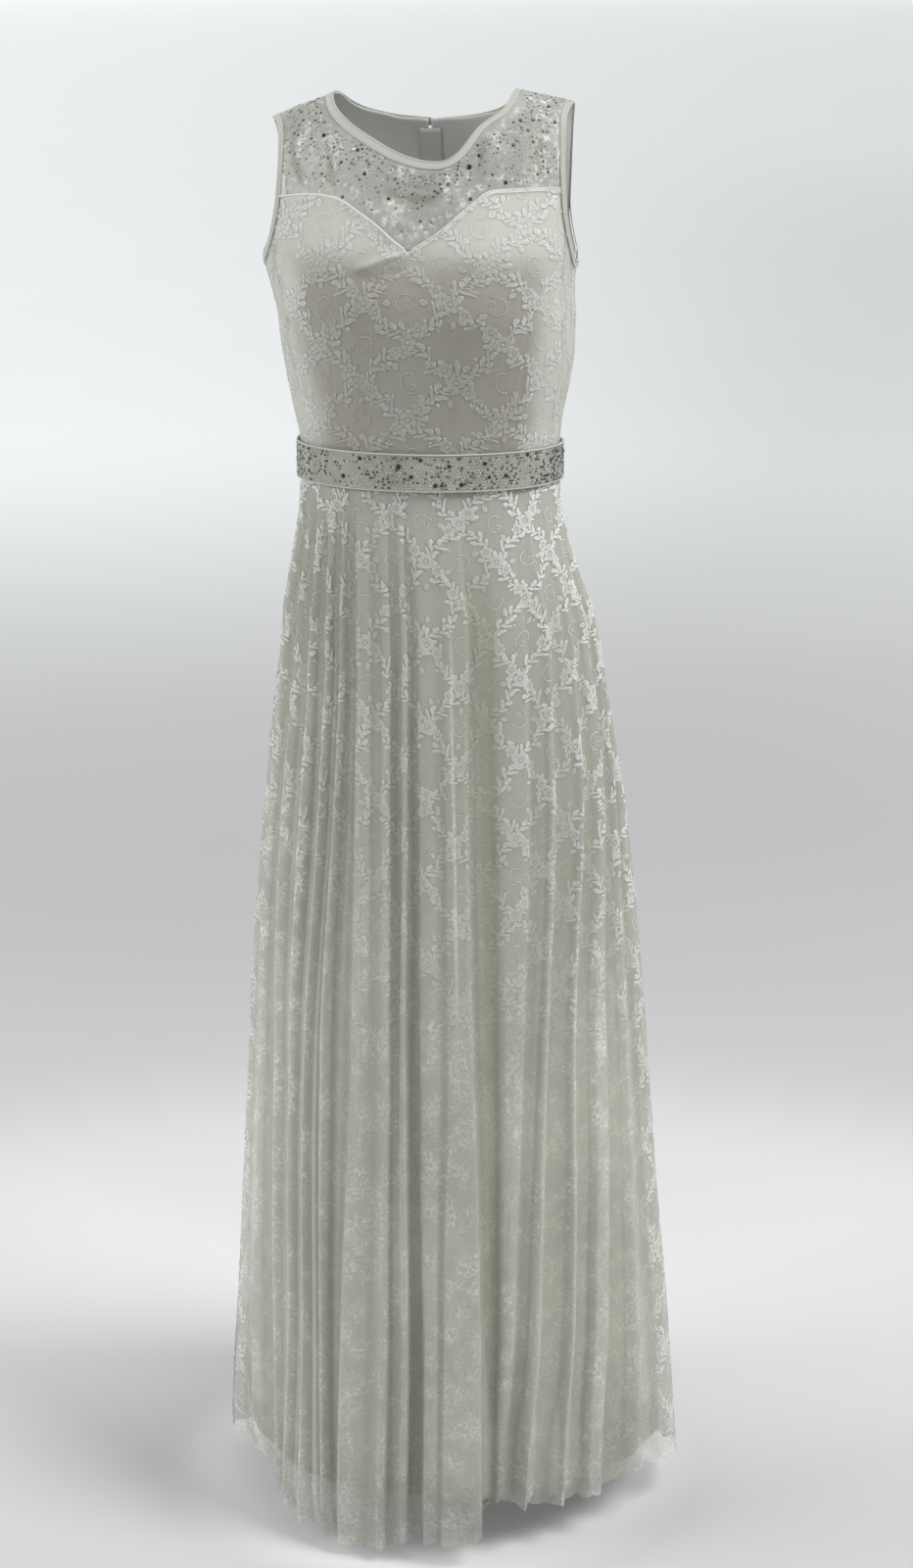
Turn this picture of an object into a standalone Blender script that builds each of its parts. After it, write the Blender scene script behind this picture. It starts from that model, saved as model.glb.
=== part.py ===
"""Evening dress, worn form, empty inside: a sheer yoke, a lace bodice over a lining, a belt,
a pleated lace skirt over its own lining, bindings, and a zip down the centre back.

Metres, +Z up, front towards -Y. The tables give heights above the floor; the origin is
between the shoulder seams, SHOULDER above the floor."""

import math

import bmesh
import bpy
import numpy as np

MM = 0.001
SHOULDER = 1.470  # height of the origin above the floor
ARMPIT = 1.330  # above this level the torso closes over the shoulders
WAIST = 1.120  # waist seam, under the belt
SEAM = 0.0004  # half gap left along a seam
LINING_WALL = 1.0 * MM
LACE_WALL = 1.0 * MM
LACE_LIFT = 1.3 * MM  # lace over the lining: inner face
BACK_WALL = 1.2 * MM
YOKE_LIFT = 0.3 * MM
YOKE_WALL = 1.0 * MM
BINDING_WALL = 1.5 * MM
NECK_BINDING = 10.0 * MM
ARM_BINDING = 6.5 * MM
BELT_TOP, BELT_BOTTOM, BELT_WALL = 1.1385, 1.1005, 1.5 * MM
RIDGE_Y = 0.005
HALF_PI = math.pi / 2

# Torso sections: height, centre x, half width, depth in front, depth behind.
TORSO = (
    ("z", "cx", "half", "front", "back"),
    (1.1000, 0.000, 0.1290, 0.0985, 0.0912),
    (1.1200, 0.000, 0.1295, 0.0985, 0.0915),
    (1.1460, 0.000, 0.1312, 0.1003, 0.0930),
    (1.1660, -0.001, 0.1345, 0.1030, 0.0945),
    (1.1850, -0.001, 0.1385, 0.1060, 0.0960),
    (1.2050, -0.001, 0.1425, 0.1085, 0.0980),
    (1.2250, -0.001, 0.1455, 0.1105, 0.1000),
    (1.2450, -0.002, 0.1475, 0.1120, 0.1020),
    (1.2700, -0.003, 0.1490, 0.1130, 0.1040),
    (1.2950, -0.0065, 0.1515, 0.1125, 0.1060),
    (1.3200, -0.009, 0.1560, 0.1100, 0.1075),
    (1.3300, -0.009, 0.1575, 0.1090, 0.1080),
)
# Height of the shoulder ridge across the body.
SHOULDERS = (
    ("x", "z"),
    (-0.175, 1.4480),
    (-0.158, 1.4570),
    (-0.095, 1.4815),
    (-0.050, 1.4960),
    (0.000, 1.5020),
    (0.050, 1.4970),
    (0.088, 1.4850),
    (0.1445, 1.4730),
    (0.165, 1.4660),
)
CUPS = (("x", "z", "across", "up", "lift"), (-0.078, 1.284, 0.046, 0.040, 0.0135), (0.070, 1.286, 0.046, 0.040, 0.0135))
# Edges drawn on the torso: x, height. RIDGE marks the shoulder ridge.
RIDGE = 9.0
NECK_FRONT = (
    ("x", "z"),
    (-0.0960, RIDGE),
    (-0.0900, 1.4720),
    (-0.0755, 1.4590),
    (-0.0560, 1.4470),
    (-0.0270, 1.4320),
    (-0.0060, 1.4240),
    (0.0190, 1.4200),
    (0.0330, 1.4245),
    (0.0445, 1.4370),
    (0.0520, 1.4490),
    (0.0627, 1.4590),
    (0.0790, 1.4700),
    (0.0870, RIDGE),
)
NECK_BACK = (("x", "z"), (0.0870, RIDGE), (0.0740, 1.4690), (0.0400, 1.4570), (-0.0030, 1.4530), (-0.0460, 1.4570), (-0.0820, 1.4690), (-0.0960, RIDGE))
SWEETHEART = (
    ("x", "z"),
    (-0.1445, 1.3840),
    (-0.1121, 1.3882),
    (-0.0906, 1.3878),
    (-0.0742, 1.3843),
    (-0.0563, 1.3741),
    (-0.0377, 1.3619),
    (-0.0197, 1.3472),
    (-0.0065, 1.3379),
    (0.0062, 1.3452),
    (0.0249, 1.3579),
    (0.0416, 1.3724),
    (0.0559, 1.3844),
    (0.0680, 1.3932),
    (0.0846, 1.3951),
    (0.1132, 1.3957),
    (0.1371, 1.3941),
)
SWEETHEART_POINT = 7  # row of the point between the cups
ARM_RIGHT_FRONT = (("x", "z"), (-0.1585, RIDGE), (-0.1485, 1.4480), (-0.1452, 1.4320), (-0.1445, 1.4110), (-0.1445, 1.3840))
ARM_RIGHT_UNDER = (("turn", "z"), (-59.4, 1.3840), (-61.5, 1.3640), (-66.5, 1.3400), (-76.0, 1.3250), (-90.0, 1.3216))
ARM_LEFT_FRONT = (("x", "z"), (0.1445, RIDGE), (0.1378, 1.4640), (0.1367, 1.4480), (0.1367, 1.4270), (0.1368, 1.4100), (0.1371, 1.3941))
ARM_LEFT_UNDER = (("turn", "z"), (68.1, 1.3941), (69.6, 1.3700), (73.5, 1.3460), (79.0, 1.3280), (90.0, 1.3216))
ARM_RIGHT_BACK = (("turn", "z"), (-90.0, 1.3216), (-104.0, 1.3270), (-113.0, 1.3480), (-118.0, 1.3800), (-118.5, 1.4150), (-114.0, 1.4420), (-108.3, RIDGE))
ARM_LEFT_BACK = (("turn", "z"), (90.0, 1.3216), (102.0, 1.3270), (110.0, 1.3480), (113.5, 1.3800), (113.0, 1.4200), (109.0, 1.4520), (103.0, RIDGE))

# Outer face of the lace skirt on the crest of its folds.
SKIRT = (
    ("z", "cx", "half", "front", "back"),
    (1.1200, 0.000, 0.1326, 0.1016, 0.0946),
    (1.1000, 0.000, 0.1329, 0.1019, 0.0951),
    (1.0850, 0.000, 0.1337, 0.1032, 0.0968),
    (1.0440, 0.001, 0.1400, 0.1100, 0.1080),
    (1.0040, 0.004, 0.1505, 0.1180, 0.1200),
    (0.9620, 0.008, 0.1618, 0.1270, 0.1320),
    (0.9210, 0.010, 0.1680, 0.1340, 0.1400),
    (0.8790, 0.011, 0.1743, 0.1410, 0.1465),
    (0.8370, 0.012, 0.1808, 0.1480, 0.1530),
    (0.7530, 0.014, 0.1920, 0.1620, 0.1660),
    (0.6670, 0.015, 0.2010, 0.1760, 0.1800),
    (0.5800, 0.016, 0.2092, 0.1890, 0.1930),
    (0.4920, 0.018, 0.2162, 0.2030, 0.2060),
    (0.4030, 0.019, 0.2236, 0.2150, 0.2180),
    (0.3130, 0.020, 0.2304, 0.2240, 0.2280),
    (0.2210, 0.022, 0.2372, 0.2330, 0.2360),
    (0.1280, 0.023, 0.2434, 0.2405, 0.2440),
    (0.0340, 0.024, 0.2500, 0.2460, 0.2500),
    (0.0120, 0.024, 0.2510, 0.2465, 0.2510),
)
# Folds of the front, round from the wearer's right seam (-90) to the left seam (90). turn_* is
# the angle at five heights in FOLD_LEVELS, mid and hem the depth below the crests in mm.
FOLD_LEVELS = (1.10, 0.837, 0.58, 0.313, 0.014)
FOLD_GROWTH = (("z", "share"), (0.010, 1.0), (0.313, 0.82), (0.58, 0.62), (0.837, 0.40), (0.96, 0.24), (1.06, 0.09), (1.10, 0.04), (1.13, 0.03))
FRONT_FOLDS = (
    ("turn_waist", "turn_hip", "turn_knee", "turn_shin", "turn_hem", "mid", "hem"),
    (-90.0, -90.0, -90.0, -90.0, -90.0, 3, 3),
    (-81.0, -81.0, -80.5, -80.0, -79.0, 10, 19),
    (-72.0, -71.5, -70.5, -69.0, -67.0, 3, 18),
    (-66.0, -64.0, -62.0, -56.0, -50.5, 11, 26),
    (-60.5, -57.5, -55.5, -50.3, -46.8, 4, 13),
    (-55.5, -51.0, -49.0, -45.8, -43.8, 9, 16),
    (-50.5, -45.5, -44.5, -42.0, -40.8, 2, 6),
    (-46.3, -41.0, -40.4, -38.6, -37.7, 9, 11),
    (-42.0, -37.0, -37.2, -35.4, -34.4, 2, 2),
    (-38.2, -33.6, -34.6, -32.6, -31.0, 8, 9),
    (-34.5, -30.4, -31.4, -28.8, -26.8, 1, 1),
    (-30.0, -26.0, -25.2, -24.8, -24.4, 9, 12),
    (-25.5, -21.5, -18.6, -20.7, -21.9, 0, 0),
    (-19.3, -16.7, -14.6, -14.8, -15.4, 5, 5),
    (-13.7, -12.6, -10.6, -10.2, -10.7, 1, 0),
    (-10.2, -9.4, -8.1, -8.1, -8.9, 8, 8),
    (-6.7, -6.6, -6.0, -5.0, -5.6, 2, 2),
    (-2.4, -2.9, -2.4, -1.7, -2.2, 17, 25),
    (2.6, 0.8, 1.2, 1.6, 0.4, 5, 4),
    (7.2, 5.3, 5.6, 4.5, 2.9, 7, 6),
    (12.2, 9.7, 9.8, 7.9, 5.7, 0, 0),
    (17.5, 13.2, 12.9, 14.0, 13.6, 0, 0),
    (24.6, 18.5, 18.2, 18.2, 16.9, 17, 28),
    (40.0, 32.0, 27.0, 22.5, 19.2, 3, 20),
    (46.5, 38.5, 32.0, 26.2, 21.3, 11, 22),
    (54.0, 44.0, 36.6, 30.6, 24.3, 0, 0),
    (61.0, 51.0, 41.2, 36.0, 29.4, 14, 17),
    (67.0, 57.6, 46.0, 41.6, 35.0, 2, 2),
    (72.0, 64.0, 51.0, 46.2, 40.2, 12, 16),
    (76.5, 69.5, 56.4, 50.8, 45.8, 2, 2),
    (79.8, 74.5, 63.0, 57.2, 52.0, 11, 15),
    (82.3, 78.6, 69.6, 64.4, 60.2, 1, 0),
    (84.4, 82.0, 76.0, 72.4, 69.4, 8, 9),
    (87.2, 86.2, 83.4, 80.6, 79.0, 0, 0),
    (90.0, 90.0, 90.0, 90.0, 90.0, 4, 5),
)
BACK_FOLDS = 20  # crests and hollows from side seam to side seam behind
BACK_DEPTH = 14.0  # mm, hollow at the hem behind
LACE_HEM = (("turn", "z"), (-90, 0.028), (-82, 0.031), (-74, 0.038), (-67, 0.045), (-60, 0.046), (-53, 0.041), (-46, 0.033), (-38, 0.024), (-28, 0.015), (-20, 0.013), (-12, 0.012), (-6, 0.020), (0, 0.024), (10, 0.024), (14, 0.034), (18, 0.052), (25, 0.053), (32, 0.048), (46, 0.048), (54, 0.052), (62, 0.062), (70, 0.055), (80, 0.043), (90, 0.034), (112, 0.030), (140, 0.023), (180, 0.022), (225, 0.024), (250, 0.027), (270, 0.028))
LINING_HEM = 0.070
SKIRT_ROWS = (0.0, 0.03, 0.10, 0.20, 0.36, 0.57, 0.79, 1.0)
BACK_ROWS = (0.0, 0.18, 0.36, 0.54, 0.68, 0.80, 0.90, 1.0)

ZIP_TOP, ZIP_HALF = 1.4460, 11.0 * MM
ZIP_ROWS = 4  # the zip ends this many skirt rows down
SLIDER = {"wide": 8.0 * MM, "tall": 9.0 * MM, "deep": 2.4 * MM, "stand": 0.4 * MM, "z": 1.4310}
PIN_RADIUS, EYE_RADIUS, EYE_RIM = 0.60 * MM, 0.66 * MM, 1.50 * MM
PULL = {"wide": 3.6 * MM, "thick": 1.2 * MM, "long": 21.0 * MM}

COLOURS = {
    "lace": (0.60, 0.61, 0.56, 1.0),
    "lining": (0.42, 0.40, 0.35, 1.0),
    "net": (0.56, 0.57, 0.53, 1.0),
    "binding": (0.55, 0.56, 0.52, 1.0),
    "belt": (0.45, 0.46, 0.42, 1.0),
    "zip": (0.50, 0.50, 0.46, 1.0),
    "metal": (0.62, 0.62, 0.60, 1.0),
}


def column(table, name):
    return np.array([row[table[0].index(name)] for row in table[1:]], float)


def curve(xs, ys, x):
    """A smooth line through the rows, flat at each of their peaks."""
    step = np.diff(xs)
    rise = np.diff(ys) / step
    slope = np.concatenate([rise[:1], (rise[:-1] * step[1:] + rise[1:] * step[:-1]) / (step[1:] + step[:-1]), rise[-1:]])
    slope[1:-1] = np.where(rise[:-1] * rise[1:] <= 0, 0.0, slope[1:-1])
    x = np.clip(x, xs[0], xs[-1])
    i = np.clip(np.searchsorted(xs, x, side="right") - 1, 0, len(xs) - 2)
    t = (x - xs[i]) / step[i]
    return (
        ys[i] * (1 + 2 * t) * (1 - t) ** 2
        + slope[i] * step[i] * t * (1 - t) ** 2
        + ys[i + 1] * t * t * (3 - 2 * t)
        + slope[i + 1] * step[i] * t * t * (t - 1)
    )


def section(table, name, z):
    heights, values = column(table, "z"), column(table, name)
    order = np.argsort(heights)
    return curve(heights[order], values[order], z)


def ridge(x):
    return curve(column(SHOULDERS, "x"), column(SHOULDERS, "z"), x)


def torso(turn, w):
    """Point of the torso. turn is 0 in front and a quarter turn at +X. w below 0 is metres
    under the armpit; above 0 it is the angle over the shoulder, a right angle on the ridge,
    and more on the far side."""
    turn, w = np.broadcast_arrays(np.asarray(turn, float), np.asarray(w, float))
    far = w > HALF_PI
    turn, w = np.where(far, math.pi - turn, turn), np.where(far, math.pi - w, w)
    up = np.clip(w, 0.0, HALF_PI)
    low = ARMPIT + np.minimum(w, 0.0)
    c = np.cos(turn)
    x = section(TORSO, "cx", low) + section(TORSO, "half", low) * np.sin(turn)
    depth = np.where(c >= 0, section(TORSO, "front", low), section(TORSO, "back", low))
    z = low + (ridge(x) - ARMPIT) * np.sin(up)
    y = -depth * c
    for cx, cz, across, rise, lift in CUPS[1:]:
        y = y - np.where(c > 0, lift * np.exp(-((x - cx) ** 2) / (2 * across**2) - (z - cz) ** 2 / (2 * rise**2)) * np.clip(c * 2.2, 0, 1), 0.0)
    close = np.sqrt(np.clip(1.0 - np.sin(up) ** 1.5, 0.0, 1.0))
    y = np.where(up > 0, RIDGE_Y + (y - RIDGE_Y) * close, y)
    return np.stack([x, y, z], -1)


def turn_of(x, z):
    low = np.minimum(z, ARMPIT)
    return np.arcsin(np.clip((x - section(TORSO, "cx", low)) / section(TORSO, "half", low), -1, 1))


def over_of(x, z):
    """w of a height, at this x."""
    over = np.arcsin(np.clip((z - ARMPIT) / (ridge(x) - ARMPIT), 0, 1))
    return np.where(z <= ARMPIT, z - ARMPIT, over)


def frame_of(surface, a, b, da=0.002, db=0.002):
    pa = (surface(a + da, b) - surface(a - da, b)) / (2 * da)
    pb = (surface(a, b + db) - surface(a, b - db)) / (2 * db)
    n = np.cross(pa, pb)
    return pa, pb, n / np.linalg.norm(n, axis=-1, keepdims=True)


def raised(turn, w, lift):
    """The torso moved out along its normal."""
    return torso(turn, w) + frame_of(torso, turn, w)[2] * np.asarray(lift)[..., None]


def edge(table, far=False):
    """Rows of an edge as (turn, w)."""
    rows = []
    for a, z in table[1:]:
        if table[0][0] == "x":
            turn = float(turn_of(a, ARMPIT))
            x = a
        else:
            turn = math.radians(a)
            x = float(section(TORSO, "cx", ARMPIT) + section(TORSO, "half", ARMPIT) * math.sin(turn))
        w = HALF_PI if z == RIDGE else float(over_of(x, z))
        rows.append((turn, math.pi - w if far else w))
    return np.array(rows)


def spaced(rows, count, smooth=True):
    """count + 1 points along these rows, evenly apart on the torso."""
    rows = np.asarray(rows, float)
    k = np.arange(len(rows), dtype=float)
    fine = np.linspace(0, len(rows) - 1, 400)
    if smooth and len(rows) > 2:
        both = np.stack([curve(k, rows[:, 0], fine), curve(k, rows[:, 1], fine)], -1)
    else:
        both = np.stack([np.interp(fine, k, rows[:, 0]), np.interp(fine, k, rows[:, 1])], -1)
    points = torso(both[:, 0], both[:, 1])
    along = np.concatenate([[0], np.cumsum(np.linalg.norm(np.diff(points, axis=0), axis=1))])
    want = np.linspace(0, along[-1], count + 1)
    return np.stack([np.interp(want, along, both[:, 0]), np.interp(want, along, both[:, 1])], -1)


def joined(*parts):
    out = [parts[0]]
    for part in parts[1:]:
        out.append(part[1:])
    return np.concatenate(out)


def moved_in(path, width, side, closed=False):
    """The path moved across itself over the torso by width; side +1 or -1."""
    out = np.array(path, float)
    start = torso(out[:, 0], out[:, 1])
    along = np.roll(start, -1, 0) - np.roll(start, 1, 0)
    if not closed:
        along[0], along[-1] = start[1] - start[0], start[-1] - start[-2]
    for _ in range(4):
        pa, pb, n = frame_of(torso, out[:, 0], out[:, 1])
        go = np.cross(n, along)
        go = side * go / np.linalg.norm(go, axis=1, keepdims=True) * width / 4
        aa, ab, bb = (pa * pa).sum(1), (pa * pb).sum(1), (pb * pb).sum(1)
        ga, gb = (go * pa).sum(1), (go * pb).sum(1)
        det = aa * bb - ab * ab
        out = out + np.stack([(ga * bb - gb * ab) / det, (gb * aa - ga * ab) / det], -1)
    return out


# ---------------------------------------------------------------- building
PARTS = None
SLOTS = {}


def slot(name):
    if name not in SLOTS:
        made = bpy.data.materials.new(name)
        made.use_nodes = True
        shader = made.node_tree.nodes["Principled BSDF"]
        shader.inputs["Base Color"].default_value = COLOURS[name.split("_")[0]]
        shader.inputs["Roughness"].default_value = 0.35 if name.startswith("metal") else 0.85
        if name.startswith("metal"):
            shader.inputs["Metallic"].default_value = 1.0
        made.diffuse_color = COLOURS[name.split("_")[0]]
        SLOTS[name] = made
    return SLOTS[name]


def add(name, vertices, faces, material):
    mesh = bpy.data.meshes.new(name)
    points = np.asarray(vertices, float).reshape(-1, 3) - (0, 0, SHOULDER)
    mesh.from_pydata([tuple(p) for p in points], [], faces)
    mesh.validate()
    work = bmesh.new()
    work.from_mesh(mesh)
    bmesh.ops.recalc_face_normals(work, faces=work.faces)
    work.to_mesh(mesh)
    work.free()
    mesh.materials.append(slot(material))
    obj = bpy.data.objects.new(name, mesh)
    PARTS.objects.link(obj)
    return obj


def wall(name, outer, inner, material, wrap=False):
    """A closed wall between two grids of points [row][column]. wrap joins the last row to the first."""
    rows, cols = outer.shape[:2]
    size = rows * cols
    faces = []
    spans = rows if wrap else rows - 1
    points = outer.reshape(-1, 3)
    for r in range(spans):
        s = (r + 1) % rows
        for c in range(cols - 1):
            a, b, d, e = r * cols + c, r * cols + c + 1, s * cols + c + 1, s * cols + c
            short = np.linalg.norm(points[a] - points[d]) <= np.linalg.norm(points[b] - points[e])
            for i, j, k in ((a, b, d), (a, d, e)) if short else ((a, b, e), (b, d, e)):
                faces.append((i, j, k))
                faces.append((size + k, size + j, size + i))
        for c in (0, cols - 1):
            a, e = r * cols + c, s * cols + c
            faces.append((a, e, size + e, size + a) if c == 0 else (size + a, size + e, e, a))
    if not wrap:
        for r in (0, rows - 1):
            for c in range(cols - 1):
                a, b = r * cols + c, r * cols + c + 1
                faces.append((size + a, size + b, b, a) if r == 0 else (a, b, size + b, size + a))
    return add(name, np.concatenate([outer.reshape(-1, 3), inner.reshape(-1, 3)]), faces, material)


def panel(name, turns, ws, low, high, material):
    """A panel of the torso through grids of (turn, w), its wall from low to high above it."""
    return wall(name, raised(turns, ws, np.full(turns.shape, high)), raised(turns, ws, np.full(turns.shape, low)), material)


def bodice_front():
    """Lining and lace of the bodice: columns of one angle, from the waist to the neck edge."""
    under_right = edge(ARM_RIGHT_UNDER)[::-1]
    under_left = edge(ARM_LEFT_UNDER)
    heart = edge(SWEETHEART)
    right, left = heart[: SWEETHEART_POINT + 1], heart[SWEETHEART_POINT:]
    top = joined(spaced(under_right, 3), spaced(right, 8), spaced(left, 8), spaced(under_left, 3))
    top[:, 1] -= 0.0045  # the seam gap under the yoke
    top[0, 0] += 0.004
    top[-1, 0] -= 0.004
    rows = np.array([0.0, 0.14, 0.28, 0.42, 0.56, 0.70, 0.85, 1.0])
    floor = WAIST + 0.0003 - ARMPIT
    low_w = np.full(len(top), floor)
    # w has two scales, so rows are spread over heights and turned back into w
    z_top = torso(top[:, 0], top[:, 1])[:, 2]
    z = (WAIST + 0.0003) + (z_top - WAIST - 0.0003)[None, :] * rows[:, None]
    turns = np.repeat(top[None, :, 0], len(rows), 0)
    x = section(TORSO, "cx", ARMPIT) + section(TORSO, "half", ARMPIT) * np.sin(turns)
    ws = over_of(x, z)
    ws[0] = low_w
    ws[-1] = top[:, 1]
    panel("bodice_front_lining", turns, ws, 0.0, LINING_WALL, "lining")
    panel("bodice_front_lace", turns, ws, LACE_LIFT, LACE_LIFT + LACE_WALL, "lace")


def yoke():
    heart = edge(SWEETHEART)
    outer = joined(
        spaced(edge(ARM_RIGHT_FRONT), 4),
        spaced(heart[: SWEETHEART_POINT + 1], 8),
        spaced(heart[SWEETHEART_POINT:], 8),
        spaced(edge(ARM_LEFT_FRONT)[::-1], 4),
    )
    outer[4:-4, 1] += 0.0045  # the seam gap over the bodice
    outer[0, 1] = outer[-1, 1] = HALF_PI - 0.006
    inner = spaced(edge(NECK_FRONT), len(outer) - 1)
    inner[0, 1] = inner[-1, 1] = HALF_PI - 0.006
    across = np.array([0.0, 0.25, 0.5, 0.75, 1.0])[:, None, None]
    both = inner[None] * (1 - across) + outer[None] * across
    panel("yoke_front", both[..., 0], both[..., 1], YOKE_LIFT, YOKE_LIFT + YOKE_WALL, "net")


def back_row(w_top, v):
    """w at the share v of the way up to w_top. Below the armpit w runs in metres and above
    it in radians, so the rows are shared out on one scale."""
    w = (WAIST + 0.0003 - ARMPIT) * (1 - v) + np.where(w_top > 0, w_top * 0.12, w_top) * v
    return np.where(w > 0, w / 0.12, w)


def back_panels():
    neck = edge(NECK_BACK, far=True)
    middle = len(neck) // 2
    for name, side, under, shoulder_neck in (
        ("back_right", -1, edge(ARM_RIGHT_BACK), neck[middle:]),
        ("back_left", 1, edge(ARM_LEFT_BACK), neck[: middle + 1][::-1]),
    ):
        # the neck edge is known in the front's chart: (turn, pi - w); turned to the back's
        hem = np.stack([math.pi - shoulder_neck[:, 0], math.pi - shoulder_neck[:, 1]], -1)
        arm = under[::-1].copy()
        if side < 0:
            arm[:, 0] += 2 * math.pi
        gap = 0.0008 / 0.1
        hem[0, 0] = math.pi - side * gap
        top = joined(spaced(hem, 4), spaced(np.stack([hem[-1], arm[0]]), 3), spaced(arm, 5))
        top[4:8, 1] = HALF_PI - 0.006
        top[-1, 0] += -side * -0.004 if side < 0 else 0.004
        bottom_turn = np.linspace(math.pi - side * 0.0008 / 0.0915, top[-1, 0], len(top))
        z_top = torso(top[:, 0], top[:, 1])[:, 2]
        grid_t, grid_w = [], []
        for v in BACK_ROWS:
            grid_t.append(bottom_turn * (1 - v) + top[:, 0] * v)
            grid_w.append(back_row(top[:, 1], v))
        grid_w[-1] = top[:, 1]
        panel(name, np.array(grid_t), np.array(grid_w), 0.0, BACK_WALL, "lining_back")


def strip(name, path, width, side, lift, closed, material):
    """A band along an edge of the torso."""
    inside = moved_in(path, width, side, closed)
    both = np.stack([path, (path + inside) / 2, inside], 1)
    lifts = np.repeat(np.asarray(lift, float)[:, None], 3, 1)
    low = raised(both[..., 0], both[..., 1], lifts)
    high = raised(both[..., 0], both[..., 1], lifts + BINDING_WALL)
    low = low[:, (0, 2)]
    return wall(name, high[:, (0, 2)], low, material, wrap=closed)


def bindings():
    front = edge(NECK_FRONT)
    back = edge(NECK_BACK, far=True)
    middle = len(back) // 2
    gap = 0.0012 / 0.08
    start, end = back[middle].copy(), back[middle].copy()
    start[0] -= gap
    end[0] += gap
    path = joined(
        spaced(np.concatenate([[start], back[middle + 1 :]]), 6),
        spaced(front, 22),
        spaced(np.concatenate([back[:middle], [end]]), 6),
    )
    strip("neck_binding", path, NECK_BINDING, -1, np.full(len(path), 2.2 * MM), False, "binding")
    for name, a, b, c, side in (
        ("armhole_binding_right", ARM_RIGHT_FRONT, ARM_RIGHT_UNDER, ARM_RIGHT_BACK, 1),
        ("armhole_binding_left", ARM_LEFT_FRONT, ARM_LEFT_UNDER, ARM_LEFT_BACK, -1),
    ):
        parts = (spaced(edge(a), 7), spaced(edge(b), 6), spaced(edge(c), 12))
        path = joined(*parts)[:-1]
        lift = np.full(len(path), 2.4)
        lift[6:15] = (2.8, 3.3, 3.3, 3.3, 3.3, 3.3, 3.2, 3.0, 2.6)
        strip(name, path, ARM_BINDING, side, lift * MM, True, "binding")


def ring(z, half, front, back, turn):
    c = np.cos(turn)
    x = half * np.sin(turn)
    y = -np.where(c >= 0, front, back) * c
    return np.stack(np.broadcast_arrays(x, y, z), -1)


def belt():
    turn = np.linspace(-math.pi + 0.012, math.pi - 0.012, 61)
    levels = np.array([BELT_BOTTOM, (BELT_BOTTOM + BELT_TOP) / 2, BELT_TOP])
    low = np.stack([ring(z, 0.1343, 0.1038, 0.0972, turn) for z in levels], 1)
    high = np.stack([ring(z, 0.1343 + BELT_WALL, 0.1038 + BELT_WALL, 0.0972 + BELT_WALL, turn) for z in levels], 1)
    wall("belt", high[:, (0, 2)], low[:, (0, 2)], "belt")


# ---------------------------------------------------------------- skirt
def fold_table():
    """Turn (radians) of each fold at each level, and its depth in metres at the middle and hem."""
    front = np.array(FRONT_FOLDS[1:], float)
    turns, depth = np.radians(front[:, :5]), front[:, 5:] * MM
    back_t, back_d = [], []
    for k in range(1, BACK_FOLDS):
        sway = 1.3 * math.sin(2.3 * k) + 0.7 * math.sin(5.1 * k)
        centre = 90 + 180 * k / BACK_FOLDS
        if k == BACK_FOLDS // 2:
            sway = 0.0
        back_t.append([math.radians(centre + sway * s) for s in (0.3, 0.6, 0.8, 1.0, 1.1)])
        hollow = k % 2 == 1
        size = BACK_DEPTH * (0.85 + 0.3 * math.sin(1.7 * k)) if hollow else 2.0 + math.sin(2.9 * k)
        back_d.append([size * 0.8 * MM, size * MM])
    last = [math.radians(270)] * 5
    turns = np.concatenate([turns, back_t, [last]])
    depth = np.concatenate([depth, back_d, [depth[0]]])
    return turns, depth


TURNS, DEPTHS = fold_table()
FRONT_LAST = len(FRONT_FOLDS) - 2
BACK_MIDDLE = FRONT_LAST + BACK_FOLDS // 2
LAST = len(TURNS) - 1


def fold_at(s, z):
    """Turn and depth of the pleated cloth at fold coordinate s (whole numbers are the crests
    and hollows in TURNS) and height z."""
    s, z = np.broadcast_arrays(np.asarray(s, float), np.asarray(z, float))
    levels = np.array(FOLD_LEVELS)[::-1]
    wrapped = np.clip(s, 0, LAST)
    i = np.clip(np.floor(wrapped).astype(int), 0, LAST - 1)
    t = wrapped - i
    place = np.clip((z - levels[0]) / (levels[-1] - levels[0]), 0, 1)
    turn_a, turn_b = np.zeros(s.shape), np.zeros(s.shape)
    for k in range(LAST + 1):
        line = curve(levels, TURNS[k][::-1], z)
        turn_a = np.where(i == k, line, turn_a)
        turn_b = np.where(i + 1 == k, line, turn_b)
    mix = np.clip(place * 1.6, 0, 1)
    da = DEPTHS[i, 1] * (1 - mix) + DEPTHS[i, 0] * mix
    db = DEPTHS[i + 1, 1] * (1 - mix) + DEPTHS[i + 1, 0] * mix
    ease = 0.5 - 0.5 * np.cos(math.pi * t)
    return turn_a + (turn_b - turn_a) * t, da + (db - da) * ease


def growth(z):
    """How much of its hem depth a fold has at this height."""
    return section(FOLD_GROWTH, "share", z)


def pleated(s, z, share=1.0, inset=0.0):
    """Point of the skirt: crest line of SKIRT, less the fold's depth times share, less inset."""
    s, z = np.broadcast_arrays(np.asarray(s, float), np.asarray(z, float))
    turn, depth = fold_at(s, z)
    d = depth * growth(z) * share + inset
    c = np.cos(turn)
    x = section(SKIRT, "cx", z) + (section(SKIRT, "half", z) - d) * np.sin(turn)
    y = -(np.where(c >= 0, section(SKIRT, "front", z), section(SKIRT, "back", z)) - d) * c
    return np.stack([x, y, z], -1)


def lining_point(s, z):
    return pleated(s, z, 0.5, LACE_WALL + 0.45 * MM + 17.5 * MM * growth(z))


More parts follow.
